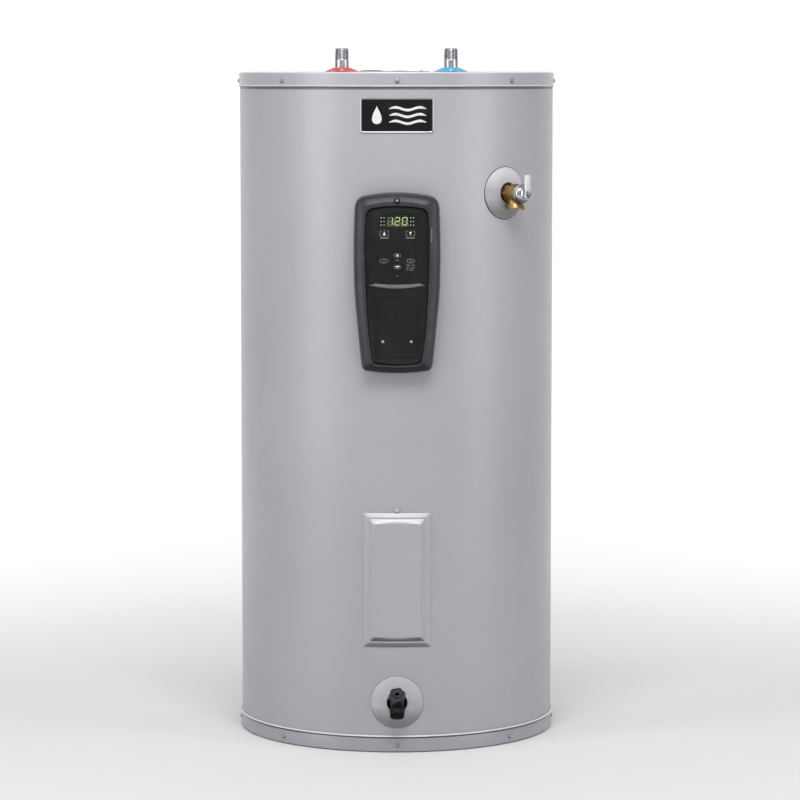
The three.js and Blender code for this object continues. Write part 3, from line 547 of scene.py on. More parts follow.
def moulded(name, colour, roughness, grain=0.0003, grain_scale=1600.0, dust=0.12, top_light_share=0.0, full_tilt=0.5,
            under_shade_colour=0x2a292b, under_shade_share=0.55, specular=0.5):
    """Moulded plastic: fine spark-eroded grain, pale dust in patches and slightly shiny rubbed spots, with
    painted shade on faces that turn down and painted light on faces that lean back.
    """
    s = Shader(name)
    pores = s.cells(grain_scale)
    patch = s.noise(30.0, 6.0, 0.65)
    tone = s.mix(s.between(patch, 0.3, 0.7), rgba(colour, 0.88), rgba(colour, 1.08))
    tone = s.mix(s.between(patch, 0.55, 0.8, 0.0, dust), tone, rgba(0x9a9994))
    # Painted shade on faces that turn down, then painted light on faces that lean back.
    tone = s.painted_top_light(s.painted_underside_shade(tone, under_shade_share, under_shade_colour, full_tilt), top_light_share, full_tilt)
    shine = s.between(s.noise(17.0, 3.0, 0.6), 0.4, 0.7, roughness * 0.8, roughness * 1.1)
    s.set(Base_Color=tone, Roughness=shine, Specular_IOR_Level=specular, Normal=s.bump(pores, 0.3, grain))
    return s.material


def dark_glass():
    """The display window: near black glass with faint smears."""
    s = Shader("display_glass")
    smear = s.noise(90.0, 6.0, 0.7)
    tone = s.mix(s.between(smear, 0.4, 0.7), rgba(0x0c0e0c), rgba(0x14181a))
    rough = s.between(smear, 0.35, 0.75, 0.10, 0.26)
    s.set(Base_Color=tone, Roughness=rough, Coat_Weight=0.4, Coat_Roughness=0.06)
    s.set(Normal=s.bump(smear, 0.05, 0.0004))
    return s.material


def glowing(name, colour, strength):
    """A lit mark whose brightness varies a little by a fine noise."""
    s = Shader(name)
    flicker = s.between(s.noise(1500.0, 3.0, 0.6), 0.3, 0.7, strength * 0.8, strength * 1.1)
    s.set(Base_Color=rgba(colour, 0.5), Emission_Color=rgba(colour), Emission_Strength=flicker, Roughness=0.4)
    s.set(Normal=s.bump(s.noise(2500.0, 2.0), 0.1, 0.0001))
    return s.material


def printed(name, colour):
    """Printed ink with worn specks."""
    return surface(name, colour, 0.5, drift=0.12, grain=0.00008, grain_scale=4000, mottle_scale=160,
                   scuffs=0.4)


def foam(name, colour, scale):
    """Cut foam: open cells of uneven size with a warm, aged skin."""
    s = Shader(name)
    cell = s.cells(scale)
    patch = s.noise(9.0, 6.0, 0.7)
    tone = s.mix(s.between(patch, 0.3, 0.7), rgba(colour, 0.85), rgba(colour, 1.05))
    tone = s.mix(s.between(cell, 0.0, 0.35, 0.35, 0.0), tone, rgba(colour, 0.5))
    s.set(Base_Color=tone, Roughness=0.95, Normal=s.bump(cell, 0.7, 0.002))
    return s.material


PAINT = jacket_paint()
PAN = pan_paint()
ZINC = galvanised(colour=0xa9abaf)
PIPE = galvanised("galvanised_pipe", 0xdcdee2, 0.24, 180.0)
BRASS = cast_brass()
CHROME = polished("chrome", 0xe4e5e7, 0.09)
STEEL = polished("fastener_steel", 0xb4b6b9, 0.24)
LEVER = surface("lever_steel", 0xe6e6ea, 0.46, metallic=0.45, drift=0.05, grain=0.0001, mottle_scale=60,
                scuffs=0.3)
# In the plastics below, the under-shade colour and share set the painted shade on faces that turn down.
HOUSING = moulded("control_black", 0x3b3c41, 0.32, 0.00012, 2200.0, 0.06, under_shade_colour=0x040405, under_shade_share=0.85,
                  specular=0.28)
FACE = moulded("face_black", 0x141416, 0.30, 0.00006, 2600.0, 0.03)
GLASS = dark_glass()
ACCENT = moulded("accent_grey", 0x6c6e71, 0.38, 0.0001)
# Two copies of nearly the same grey plastic: the relief collar's takes more painted light on faces that lean
# back than the drain collar's.
RIM_TOP_LIT = moulded("relief_rim_plastic", 0xb6b5bb, 0.42, 0.00015, 1200.0, 0.10, top_light_share=0.4, full_tilt=0.26)
RIM_GREY = moulded("drain_rim_plastic", 0xb3b2b8, 0.42, 0.00015, 1200.0, 0.10, top_light_share=0.1, full_tilt=0.26)
VALVE_BLACK = moulded("dark_plastic", 0x101011, 0.46, 0.0004, 900.0, 0.03, under_shade_colour=0x020202, under_shade_share=0.85,
                      specular=0.2)
KNOB = moulded("knob_plastic", 0x353135, 0.40, 0.0003, 1100.0, 0.08, under_shade_colour=0x050505, under_shade_share=0.9,
               specular=0.3)
CAP_GREY = moulded("grey_plastic", 0x707378, 0.5)
RED = moulded("red_plastic", 0xe9555a, 0.34, 0.0001, 1500.0, 0.04)
BLUE = moulded("blue_plastic", 0x4cbfec, 0.34, 0.0001, 1500.0, 0.04)
LINER = moulded("liner_plastic", 0xc6e4dd, 0.36, 0.0001, 1500.0, 0.05)
BADGE = moulded("badge_black", 0x101012, 0.16, 0.00003, 3000.0, 0.05)
LIT = glowing("lit_segments", 0x9cba68, 1.0)
# Painted glow: the unlit bars are no lamps but are given a faint glow.
UNLIT_PAINTED_GLOW = glowing("unlit_segments_painted_glow", 0x686f54, 0.6)
WHITE_INK = printed("white_ink", 0xe8e8e6)
GREY_INK = printed("grey_ink", 0x96979a)
KEY_INK = printed("key_ink", 0x6c6d70)
LED = glowing("led_white", 0xdfe6ea, 1.2)
HIDDEN = {
    "insulation_foam": foam("insulation_foam", 0xe6d9a6, 320.0),
    "white_foam": foam("white_foam", 0xf0f0ec, 240.0),
    "enamelled_steel": surface("enamelled_steel", 0x30424e, 0.42, 0.4, drift=0.2, dirt=0.35),
    "dip_plastic": moulded("dip_plastic", 0xdcdccf, 0.5),
    "anode_aluminium": surface("anode_aluminium", 0xa9acae, 0.45, 0.9, drift=0.15, mottle_scale=40, dirt=0.3),
    "rubber": moulded("rubber", 0x20201f, 0.75, 0.0004, 900.0, 0.2),
    "copper": polished("copper", 0xc58056, 0.3),
    "board_green": moulded("board_green", 0x1f5a3a, 0.4),
    "grey_plastic": CAP_GREY,
    "zinc_steel": ZINC,
    "liner_plastic": LINER,
    "dark_plastic": VALVE_BLACK,
    "brass": BRASS,
}


# ---------------------------------------------------------------- sheet metal
ANODE_PLACE = (-47, 130)
LID_PLACE = (18, -95)


def on_wall(x, radius):
    return -math.sqrt(radius**2 - x**2)


def radial_shading(piece):
    """Gives the curved wall one clean highlight: its corners take the true radial direction."""
    mesh = piece.data
    normals = []
    for face in mesh.polygons:
        for index in face.loop_indices:
            point = mesh.vertices[mesh.loops[index].vertex_index].co
            arm = Vector((point.x, point.y, 0)).normalized()
            lean = face.normal.dot(arm)
            normals.append(arm * math.copysign(1, lean) if abs(lean) > 0.9 else face.normal.copy())
    mesh.normals_split_custom_set(normals)


def jacket():
    """The wrapped steel wall, with its openings and the folded seam down the back."""
    bottom, top = jacket_low.z, jacket_high.z
    levels = [bottom + (top - bottom) * k / 24 for k in range(25)]
    profile = [(JACKET_RADIUS, z) for z in levels] + [(JACKET_RADIUS - 1, z) for z in reversed(levels)]
    wall = add_piece("jacket", turned(profile, 288, closed=True), PAINT, ["outer_jacket"])
    cutters = []
    for width, low, high in ((100, 720, 980), (90, 215, 415)):
        outline = rounded_box_outline(width, high - low, 4, 0, (low + high) / 2)
        cutters.append(front_plate(outline, -270, -310, 0.1))
    for angle, z in ((RELIEF_ANGLE, RELIEF_Z), (0.0, DRAIN_Z)):
        cutters.append(spun([(0, 260), (20, 260), (20, 310), (0, 310)], 48, angle, z))
    carve(wall, *cutters)
    radial_shading(wall)
    rows = []
    for z, lift in ((33.5, 0.25), (34.5, 0.9), (1200.2, 0.9), (1201.2, 0.25)):
        row = []
        for x, rise in ((-7, 0.05), (-6, lift), (3.5, lift), (4.4, 0.05), (4.4, -0.6), (-7, -0.6)):
            turn = math.pi + x / JACKET_RADIUS
            radius = JACKET_RADIUS + 0.1 + rise
            row.append((radius * math.sin(turn), -radius * math.cos(turn), z))
        rows.append(row)
    add_piece("jacket_seam", loops(rows, cap_start=True, cap_end=True), PAINT)


def quarter(steps=8):
    return [math.pi / 2 * k / steps for k in range(steps + 1)]


def base_pan():
    """The lower pan: a rounded foot, a plain skirt, and a bead with a groove under it round the rim."""
    inner = PAN_RADIUS - 1
    foot = [(PAN_RADIUS - 2.4 + 2.4 * math.sin(t), 2.4 - 2.4 * math.cos(t)) for t in quarter()]
    groove = [(0, -6.2), (-0.2, -5.7), (-0.75, -5.2), (-0.8, -4.2), (-0.4, -3.7), (0.7, -3.5)]
    bead = [(-0.4, -3.2), (0, -2.6), (-0.1, -2.0), (-0.5, -1.3), (-1.1, -0.6)]
    edge = [(PAN_RADIUS + out, BASE_RIM_Z + rise) for out, rise in groove]
    edge += [(BEAD_RADIUS + out, BASE_RIM_Z + rise) for out, rise in bead]
    edge += [(PAN_RADIUS + 0.2, BASE_RIM_Z - 0.1), (PAN_RADIUS - 0.4, BASE_RIM_Z)]
    lining = [(inner, BASE_RIM_Z - 0.3), (inner, 3.2), (inner - 1.8, 1.2), (200, 1.2), (0, 1.2)]
    add_piece("base_pan_shell", turned([(0, 0), (200, 0)] + foot + edge + lining, 288), PAN,
              ["base_pan"], smooth_degrees=50)


def rim_screw(angle, z, tip):
    """A hex washer head screw: a flange, six flats and a low dome."""
    washer = raised([(0, -3.3), (4.0, -3.3), (4.25, -3.1), (4.25, -2.85), (3.7, -2.55), (0, -2.5)], tip)
    head = prism(hexagon_outline(6.35), tip - 2.7, tip - 0.9, 0.35)
    dome = raised([(0, -1.0), (2.75, -1.0), (2.6, -0.75), (2.1, -0.35), (1.3, -0.08), (0, 0)], tip)
    return merged(spun(washer, 32, angle, z), outward(head, angle, z), spun(dome, 32, angle, z))


def rim_screws():
    count = 8
    top_nodes = [f"top_rim_screw_{i + 1}" for i in range(count)]
    for name, z, tip, nodes in (("top_rim_screws", TOP_SCREW_Z, 296.3, top_nodes),
                                ("base_rim_screws", 13.5, 295.9, [])):
        part = merged(*[rim_screw(TURN * i / count, z, tip) for i in range(count)])
        add_piece(name, part, ZINC, nodes, smooth_degrees=30)


def top_pan():
    """The upper pan: a rolled bead, a rounded edge, a faint dish, and openings for the fittings."""
    inner = PAN_RADIUS - 1
    low = TOP_BEAD_LOW
    reach = BEAD_RADIUS - PAN_RADIUS
    bead = [(0.0, 0.0), (0.25, 0.55), (0.7, 1.0), (0.95, 1.7), (0.8, 2.3), (0.35, 2.9), (0.0, 3.3)]
    rim = [(PAN_RADIUS + reach * min(out * 1.05, 1.0), low + 0.3 + rise) for out, rise in bead]
    arc = [(PAN_RADIUS - 2.6 + 2.6 * math.cos(t), TOP_Z - 2.6 + 2.6 * math.sin(t)) for t in quarter()]
    dish = raised([(285, 0), (281, -0.35), (277, -0.5), (120, -0.5), (0, -0.5)], TOP_Z)
    lining = [(0, TOP_Z - 1.5), (inner - 1.5, TOP_Z - 1.5), (inner, TOP_Z - 3), (inner, low + 0.6)]
    pan = add_piece("top_pan_shell", turned(rim + arc + dish + lining, 288, closed=True), PAN,
                    ["top_pan"])
    hole = turned(raised([(0, -8), (20, -8), (20, 8), (0, 8)], TOP_Z), 48)
    cutters = [shifted(hole, x, y) for x, y in ((-NIPPLE_X, 0), (NIPPLE_X, 0), ANODE_PLACE)]
    cutters.append(prism(rounded_box_outline(74, 74, 2, *LID_PLACE), TOP_Z - 8, TOP_Z + 8, 0.1))
    carve(pan, *cutters)


# ---------------------------------------------------------------- top fittings
def nipple(side, x):
    """A galvanised pipe nipple with a tapered thread on its upper half, its liner and its heat trap flap."""
    top = NIPPLE_TOP
    thread_low = top - 21.5
    root, bore, foot = 13.35, 10.46, 1168
    shank = turned([(bore, foot), (root, foot), (root, thread_low - 2), (root, thread_low - 0.6)], 72)
    rows = threaded(root, 1.814, 0.62, thread_low - 0.6, top - 1.6, taper=1 / 32, steps=72, fade=1.6)
    tip = root - (top - thread_low) / 32
    rows += [circle_row(radius, z) for radius, z in ((tip - 0.75, top - 0.7), (tip - 1.3, top), (10.6, top),
                                                     (bore, 1250), (bore, foot))]
    add_piece(f"{side}_pipe_nipple", shifted(merged(shank, loops(rows)), x), PIPE,
              [f"{side}_nipple"], smooth_degrees=50)
    low = 1205 if side == "hot" else 1197
    seat = 1213
    liner = [(9.2, low), (10.1, low), (10.1, top - 0.6), (9.9, top - 0.2), (9.4, top - 0.2), (9.2, top - 0.6),
             (9.2, seat + 1.7), (5.9, seat + 1.7), (5.6, seat + 1.4), (5.6, seat), (9.2, seat)]
    add_piece(f"{side}_liner", shifted(turned(liner, 64, closed=True), x), LINER,
              [f"{side}_nipple_liner"])
    low, high = (corner.z for corner in node_box(f"{side}_heat_trap_flap"))
    disc = [(0, low), (6.5, low), (6.8, low + 0.2), (6.8, high - 0.2), (6.5, high), (5.2, high),
            (4.9, high - 0.2), (0, high - 0.2)]
    add_piece(f"{side}_flap_disc", shifted(turned(disc, 48), x - 0.3), HIDDEN["rubber"],
              [f"{side}_heat_trap_flap"], body=f"{side}_flap")


def colour_ring(side, x, material):
    """The coloured collar round a nipple: thin outer lip, low cone with fine ribs, and a short upper lip."""
    z = TOP_Z + 0.3
    cone = raised([(13.75, 0), (30.6, 0), (31, 0.4), (31, 1.0), (30.6, 1.3), (29.0, 1.5), (24, 3.5),
                   (18.2, 6.1), (17.4, 6.6), (17.1, 7.0), (16.6, 7.2), (14.2, 7.2), (13.8, 6.9)], z)
    ribs = []
    for k in range(12):
        turn = TURN * (k + 0.5) / 12
        foot = Vector((math.sin(turn), -math.cos(turn), 0))
        start, end = foot * 18.6 + Vector((0, 0, z + 6.0)), foot * 28.4 + Vector((0, 0, z + 1.75))
        ribs.append(swept([start, start.lerp(end, 0.5), end], 0.32, 6))
    part = shifted(merged(turned(cone, 96, closed=True), *ribs), x)
    add_piece(f"{side}_collar", part, material, [f"{side}_ring"])


def anode_cap():
    cap = raised([(0, 0), (23.6, 0), (24, 0.3), (24, 0.7), (23.2, 1.0), (18.4, 2.0), (17.4, 2.3), (10, 2.55),
                  (9.2, 2.3), (8.6, 2.3), (8, 2.55), (0, 2.6)], TOP_Z + 0.3)
    add_piece("anode_hole_cap", shifted(turned(cap, 64), *ANODE_PLACE), CAP_GREY,
              ["anode_cap"])


def junction_lid():
    """The wiring cover: a pressed square plate, a knock-out disc in a raised ring, and one fixing screw."""
    z = TOP_Z + 0.3
    plate = prism(rounded_box_outline(82, 82, 4, *LID_PLACE, 6), z, z + 1.3, 0.5)
    disc = raised([(0, 1.2), (11, 1.2), (11, 1.7), (10.6, 1.95), (4, 1.95), (3.2, 1.7), (0, 1.7)], z)
    ring = raised([(12, 1.25), (13.2, 1.25), (13, 1.55), (12.2, 1.55)], z)
    knockout = shifted(merged(turned(disc, 48), turned(ring, 48, closed=True)), 6, -87)
    add_piece("junction_lid", merged(plate, knockout), PAN, ["junction_cover"])
    dome = turned(raised([(0, 1.25), (3.6, 1.25), (3.8, 1.6), (3.2, 2.1), (0, 2.2)], z), 32)
    head = merged(dome, prism(hexagon_outline(4.6), z + 1.9, z + 2.2, 0.1))
    add_piece("junction_lid_screw", shifted(head, 46, -70), ZINC)


# ---------------------------------------------------------------- pieces bent to the wall
def wall_plate(outline, low, high, bevel, steps=10):
    """A plate bent to the wall: an outline of (x, z) points lifted from radius low to high, with rounded
    edges and a front closed by shrinking rings so that it keeps the wall's curve."""
    middle_x = sum(p[0] for p in outline) / len(outline)
    middle_z = sum(p[1] for p in outline) / len(outline)
    rows = []
    for radius, inset in ((low, 0), (high - bevel, 0), (high - bevel * 0.3, bevel * 0.3), (high, bevel)):
        row = []
        for x, z in outline:
            arm = Vector((x - middle_x, z - middle_z))
            arm *= 1 - inset / max(arm.length, 1)
            px = middle_x + arm.x
            row.append((px, on_wall(px, radius), middle_z + arm.y))
        rows.append(row)
    rim = rows[-1]
    for k in range(1, steps):
        share = 1 - k / steps
        row = []
        for x, _, z in rim:
            px = middle_x + (x - middle_x) * share
            row.append((px, on_wall(px, high), middle_z + (z - middle_z) * share))
        rows.append(row)
    return loops(rows, cap_start=True, cap_end=True)


def dense_rectangle(width, height, corner, z, per_side=16):
    """A rounded rectangle with points all along its sides, so that it can be bent."""
    w, h = width / 2, height / 2
    sides = [((-w, -h), (w, -h)), ((w, -h), (w, h)), ((w, h), (-w, h)), ((-w, h), (-w, -h))]
    points = []
    for (x0, z0), (x1, z1) in sides:
        span = Vector((x1 - x0, z1 - z0))
        cut = corner / span.length
        for k in range(per_side + 1):
            t = cut + (1 - 2 * cut) * k / per_side
            points.append((x0 + span.x * t, z0 + span.y * t + z))
        centre = Vector((x1, z1)) - span.normalized() * corner
        inward = Vector((-span.y, span.x)).normalized() * corner
        for k in range(1, 6):
            turn = math.pi / 2 * k / 6
            arm = -inward * math.cos(turn) + span.normalized() * corner * math.sin(turn)
            point = centre + inward + arm
            points.append((point.x, point.y + z))
    return points


def ring_strip(outer, inner, section):
    """A frame bent to the wall between two outlines. Its section is (share of the width, radius) points."""
    rows = []
    for share, radius in section:
        row = []
        for (x0, z0), (x1, z1) in zip(outer, inner):
            x, z = x0 + (x1 - x0) * share, z0 + (z1 - z0) * share
            row.append((x, on_wall(x, radius), z))
        rows.append(row)
    return loops(rows, closed_rows=True)


def badge_plate():
    """The upper badge: a black plaque in a raised bright frame, with a plain drop-and-waves mark."""
    low, high = node_box("badge")
    middle = (low.z + high.z) / 2
    width, height = high.x - low.x, high.z - low.z
    wall = JACKET_RADIUS
    outer = dense_rectangle(width, height, 5, middle)
    inner = dense_rectangle(width - 5.2, height - 5.2, 3, middle)
    plaque = wall_plate(dense_rectangle(width - 5, height - 5, 3.5, middle), wall + 0.3, wall + 1.5, 0.2)
    add_piece("badge_plaque", plaque, BADGE, ["badge"])
    section = raised([(0, 0.3), (0, 1.9), (0.12, 2.3), (0.45, 2.48), (0.8, 2.3), (1.0, 1.7), (1.0, 0.3)],
                     wall)
    add_piece("badge_frame", ring_strip(outer, inner, section), CHROME)
    mark = [wall_plate(drop_outline(-36, middle + 1, 13), wall + 1.4, wall + 1.62, 0.1, 6)]
    for k in range(3):
        mark.append(wave_on_wall(-14, 52, middle + 12 - 12 * k, 2.4, wall + 1.4, wall + 1.62))
    add_piece("badge_mark", merged(*mark), WHITE_INK)


def drop_outline(x, z, size, steps=40):
    points = []
    for k in range(steps):
        turn = TURN * k / steps
        wide = math.sin(turn) * math.sin(turn / 2) ** 1.5
        points.append((x + size * 0.95 * wide, z + size * math.cos(turn) * 1.25))
    return points


def wave_on_wall(x0, x1, z, size, low, high, steps=48):
    """A wavy line with thickness laid on the wall, thinned at its ends."""
    rows = []
    for k in range(steps + 1):
        t = k / steps
        x = x0 + (x1 - x0) * t
        middle = z + size * math.sin(TURN * 1.5 * t)
        thin = size * min(1.0, 0.25 + 6 * min(t, 1 - t))
        rows.append([(x, on_wall(x, low), middle - thin), (x, on_wall(x, high), middle - thin * 0.85),
                     (x, on_wall(x, high), middle + thin * 0.85), (x, on_wall(x, low), middle + thin)])
    return loops(rows, cap_start=True, cap_end=True)


# ---------------------------------------------------------------- lower access panel
def access_panel():
    """The stamped cover: two stepped bevels up to a flat field, and a tab for its screw."""
    low, _ = node_box("lower_access_panel")
    width, height, field = 122, 243.9, -301.0
    middle = low.z + height / 2
    wall = JACKET_RADIUS

    def ring(inset, corner, lift, flatness=0.0):
        row = []
        for x, z in dense_rectangle(width - 2 * inset, height - 2 * inset, corner, 0, 20):
            bent = on_wall(x, wall) - lift
            row.append((x, bent + (field - bent) * flatness, middle + z))
        return row

    steps = ((2.2, 2.2, 0.4), (1.0, 2.4, 0.45), (0.2, 2.5, 0.8), (0.0, 2.5, 1.3), (0.25, 2.5, 1.75),
             (0.9, 2.6, 2.1), (1.6, 2.7, 2.4), (7.2, 3.0, 5.35), (7.9, 3.0, 5.6), (8.8, 3.1, 5.68),
             (10.2, 3.2, 5.72), (10.9, 3.3, 5.95), (11.8, 3.4, 6.4, 0.03), (15.2, 3.6, 8.0, 0.35),
             (18.6, 3.8, 9.2, 0.9), (19.4, 3.9, 9.4, 0.985), (20.4, 4, 9.4, 1.0))
    rows = [ring(*step) for step in steps]
    rim = rows[-1]
    for share in (0.75, 0.5, 0.25, 0.05):
        rows.append([(x * share, field, middle + (z - middle) * share) for x, _, z in rim])
    back = [[(x, y + 1.1, z) for x, y, z in row] for row in reversed(rows[4:])]
    shell = loops(back + rows, cap_start=True, cap_end=True)
    tab = wall_plate(dense_rectangle(14, 15, 2.5, middle + 126.5, 8), wall + 0.4, wall + 1.4, 0.25, 4)
    add_piece("access_panel_shell", merged(shell, tab), PAINT, ["lower_access_panel"])
    head = [(0, 291.8), (1.9, 291.8), (1.9, 293.0), (4.3, 293.0), (4.5, 293.3), (4.5, 294.0), (4.1, 294.9),
            (3.0, 295.7), (1.6, 295.95), (1.5, 294.6), (0, 294.4)]
    screw_z = middle + 126.7
    hexagon = prism(hexagon_outline(6.2), 294.0, 295.9, 0.3)
    screw = merged(spun(head, 40, 0, screw_z), outward(hexagon, 0, screw_z))
    add_piece("access_panel_bolt", screw, PIPE, ["access_panel_screw"], smooth_degrees=30)


# ---------------------------------------------------------------- control
FACE_OUT = 322.0
TOP_BOLT_Z = 1000.7
COVER_BOLT_X, COVER_BOLT_Z = 25.4, 749
OUTER_SHIELD = {
    "bottom": 691.7, "foot": (56, 696.4), "foot_corner": (63.2, 698.2), "hip": (64.4, 711),
    "flank": [(75.6, 828), (77.8, 912)], "shoulder": (76, 986), "shoulder_corner": (75.2, 1004.6),
    "crown": (60, 1008.4), "top": 1015.2,
}
INNER_SHIELD = {
    "bottom": 706.9, "foot": (33, 708.2), "foot_corner": (41.6, 709.6), "hip": (43.8, 717),
    "flank": [(51.8, 781.7), (57.1, 905)], "shoulder": (55.8, 968), "shoulder_corner": (54.8, 983.4),
    "crown": (44, 986.4), "top": 990.2,
}


def arc3(start, pull, end, steps):
    a, b, c = Vector(start), Vector(pull), Vector(end)
    return [tuple(a * (1 - t) ** 2 + b * 2 * t * (1 - t) + c * t**2)
            for t in (k / steps for k in range(steps))]


def through(points, steps):
    """A smooth curve through a few points."""
    ends = [Vector(points[0])] + [Vector(p) for p in points] + [Vector(points[-1])]
    result = []
    for i in range(1, len(ends) - 2):
        p0, p1, p2, p3 = ends[i - 1:i + 3]
        for k in range(steps):
            t = k / steps
            a = p1 * 2 + (p2 - p0) * t
            b = (p0 * 2 - p1 * 5 + p2 * 4 - p3) * t**2
            c = (p1 * 3 - p0 - p2 * 3 + p3) * t**3
            result.append(tuple((a + b + c) / 2))
    return result


def shield_points(shield):
    """The whole outline, from the middle of the bottom up the right side and down the left."""
    s = shield
    high = (0, s["top"])
    side = arc3((0, s["bottom"]), (s["foot"][0] / 2, s["bottom"]), s["foot"], 10)
    side += arc3(s["foot"], s["foot_corner"], s["hip"], 8)
    side += through([s["hip"], *s["flank"], s["shoulder"]], 10)
    side += arc3(s["shoulder"], s["shoulder_corner"], s["crown"], 8)
    side += arc3(s["crown"], (s["crown"][0] / 2, s["top"]), high, 10)
    return side + [high] + [(-x, z) for x, z in reversed(side[1:])]


def shield_row(shield, inset, out):
    """The shield's outline drawn in by an inset, at a distance out from the tank's axis."""
    middle = (shield["top"] + shield["bottom"]) / 2
    half_height = (shield["top"] - shield["bottom"]) / 2
    half_width = shield["flank"][1][0]
    across, along = 1 - inset / half_width, 1 - inset / half_height
    return [(x * across, -out, middle + (z - middle) * along) for x, z in shield_points(shield)]


def shield_foot(shield, inset, clearance=0.3):
    """The shield's outline where it meets the curved wall."""
    return [(x, on_wall(x, JACKET_RADIUS + clearance), z) for x, _, z in shield_row(shield, inset, 0)]


def control_housing():
    """The moulded shell: a soft outer shoulder, a broad front rim, and a stepped recess for the face."""
    outside = ((0.02, 298), (0.1, 305), (0.35, 309.5), (0.9, 313.2), (1.8, 316.2), (3.1, 318.8), (4.8, 321.0),
               (6.4, 322.5), (8.2, 323.8), (10.2, 325.0), (12.2, 326.15), (14.2, 327.2), (15.6, 327.9))
    inside = ((-2.8, 328.3), (-2.0, 328.05), (-1.2, 327.3), (-0.8, 326.0), (-0.4, 322.0), (-0.1, 319.6),
              (0.3, 319.0), (3.6, 319.0), (4.0, 318.6), (4.0, 317.0))
    rows = [shield_foot(OUTER_SHIELD, 2.2), shield_foot(OUTER_SHIELD, 0.4),
            shield_foot(OUTER_SHIELD, 0.1, 0.7)]
    rows += [shield_row(OUTER_SHIELD, inset, out) for inset, out in outside]
    rows += [shield_row(INNER_SHIELD, inset, out) for inset, out in inside]
    rows += [shield_foot(INNER_SHIELD, 4.0, 0.6), shield_foot(INNER_SHIELD, 3.0)]
    shell = add_piece("control_shell", loops(rows, closed_rows=True), HOUSING,
                      ["control_housing"], smooth_degrees=50)
    pocket = spun([(0, 324.5), (4.9, 324.5), (5.5, 325.1), (5.6, 331), (0, 331)], 48, 0, TOP_BOLT_Z)
    hole = spun([(0, 300), (2.1, 300), (2.1, 326), (0, 326)], 24, 0, TOP_BOLT_Z)
    carve(shell, pocket, hole)


def cross_slots(x, z, length, width, back, front):
    """Two cutters that sink a cross into a screw's head."""
    return [front_plate(rounded_box_outline(w, h, 0.1, x, z), -back, -front, 0.02)
            for w, h in ((length, width), (width, length))]


KEY_CORNERS = {"key_left": 4.8, "key_up": 3.5, "key_down": 3.5, "key_right": 4.6}


def key_frame(name):
    """A key's middle and size in the face's plane, as x, z, width and height."""
    low, high = node_box(name)
    return (low.x + high.x) / 2, (low.z + high.z) / 2, high.x - low.x, high.z - low.z


def key_outline(name, gap=0.0):
    x, z, width, height = key_frame(name)
    corner = KEY_CORNERS[name] if gap else KEY_CORNERS[name] - 0.3
    return rounded_box_outline(width + gap, height + gap, corner, x, z, 8)


def control_face():
    """The membrane's plate, with openings for the lower cover, the display and the keys."""
    outline = [(x, z) for x, _, z in shield_row(INNER_SHIELD, 0.5, 0)]
    face = add_piece("control_face_plate", front_plate(outline, -319.3, -FACE_OUT, 0.35), FACE,
                     ["control_face"])
    openings = [rounded_box_outline(79.6, 119.6, 3.3, 0, 775.2),
                rounded_box_outline(42.6, 22.6, 1.3, 0.9, 964.6)]
    openings += [key_outline(name, 0.6) for name in KEY_CORNERS]
    carve(face, *[front_plate(opening, -316, -326, 0.05) for opening in openings])


def control_cover():
    """The lower cover: a plate with a moulded double line set in from its edge, and two screws in wells."""
    face = FACE_OUT
    edge = ((0.3, 319.3), (0.0, 319.6), (0.0, face - 0.35), (0.12, face - 0.1), (0.35, face), (3.2, face),
            (3.35, face - 0.4), (3.8, face - 0.4), (3.95, face), (5.6, face), (5.75, face - 0.4),
            (6.2, face - 0.4), (6.35, face))
    rows = []
    for inset, out in edge:
        corner = max(3 - inset * 0.4, 0.8)
        outline = rounded_box_outline(79 - 2 * inset, 119.1 - 2 * inset, corner, 0, 775.25, 6)
        rows.append([(x, -out, z) for x, z in outline])
    cover = add_piece("control_cover", loops(rows, cap_start=True, cap_end=True), FACE,
                      ["control_lower_cover"], smooth_degrees=30)
    well = spun([(0, 320.4), (3.2, 320.4), (3.6, 320.8), (3.9, 322.5), (0, 322.5)], 40, 0, COVER_BOLT_Z)
    head = spun([(0, 312), (1.5, 312), (1.5, 320.7), (2.6, 320.7), (2.8, 320.9), (2.8, 321.3), (2.4, 321.7),
                 (1.4, 322.05), (0, 322.1)], 32, 0, COVER_BOLT_Z)
    for number, x in enumerate((-COVER_BOLT_X, COVER_BOLT_X), 1):
        carve(cover, shifted(well, x))
        bolt = add_piece(f"control_cover_bolt_{number}", shifted(head, x), STEEL,
                         [f"control_cover_screw_{number}"], smooth_degrees=30)
        carve(bolt, *cross_slots(x, COVER_BOLT_Z, 3.4, 0.7, 321.0, 324))


def top_screw():
    """A bright cross-head bolt on a black washer, in the housing's upper rim."""
    shank = [(0, 305), (1.7, 305), (1.7, 324.8), (3.8, 324.8), (4.4, 325.0), (4.4, 325.5), (4.0, 325.8),
             (0, 325.8)]
    add_piece("control_top_washer", spun(shank, 40, 0, TOP_BOLT_Z), VALVE_BLACK,
              ["control_top_screw"], smooth_degrees=30)
    head = [(0, 325.7), (2.6, 325.7), (2.7, 325.9), (2.6, 326.4), (2.1, 326.9), (1.2, 327.2), (0, 327.3)]
    bolt = add_piece("control_top_bolt", spun(head, 40, 0, TOP_BOLT_Z), STEEL,
                     smooth_degrees=30)
    carve(bolt, *cross_slots(0, TOP_BOLT_Z, 2.4, 0.5, 326.2, 329))


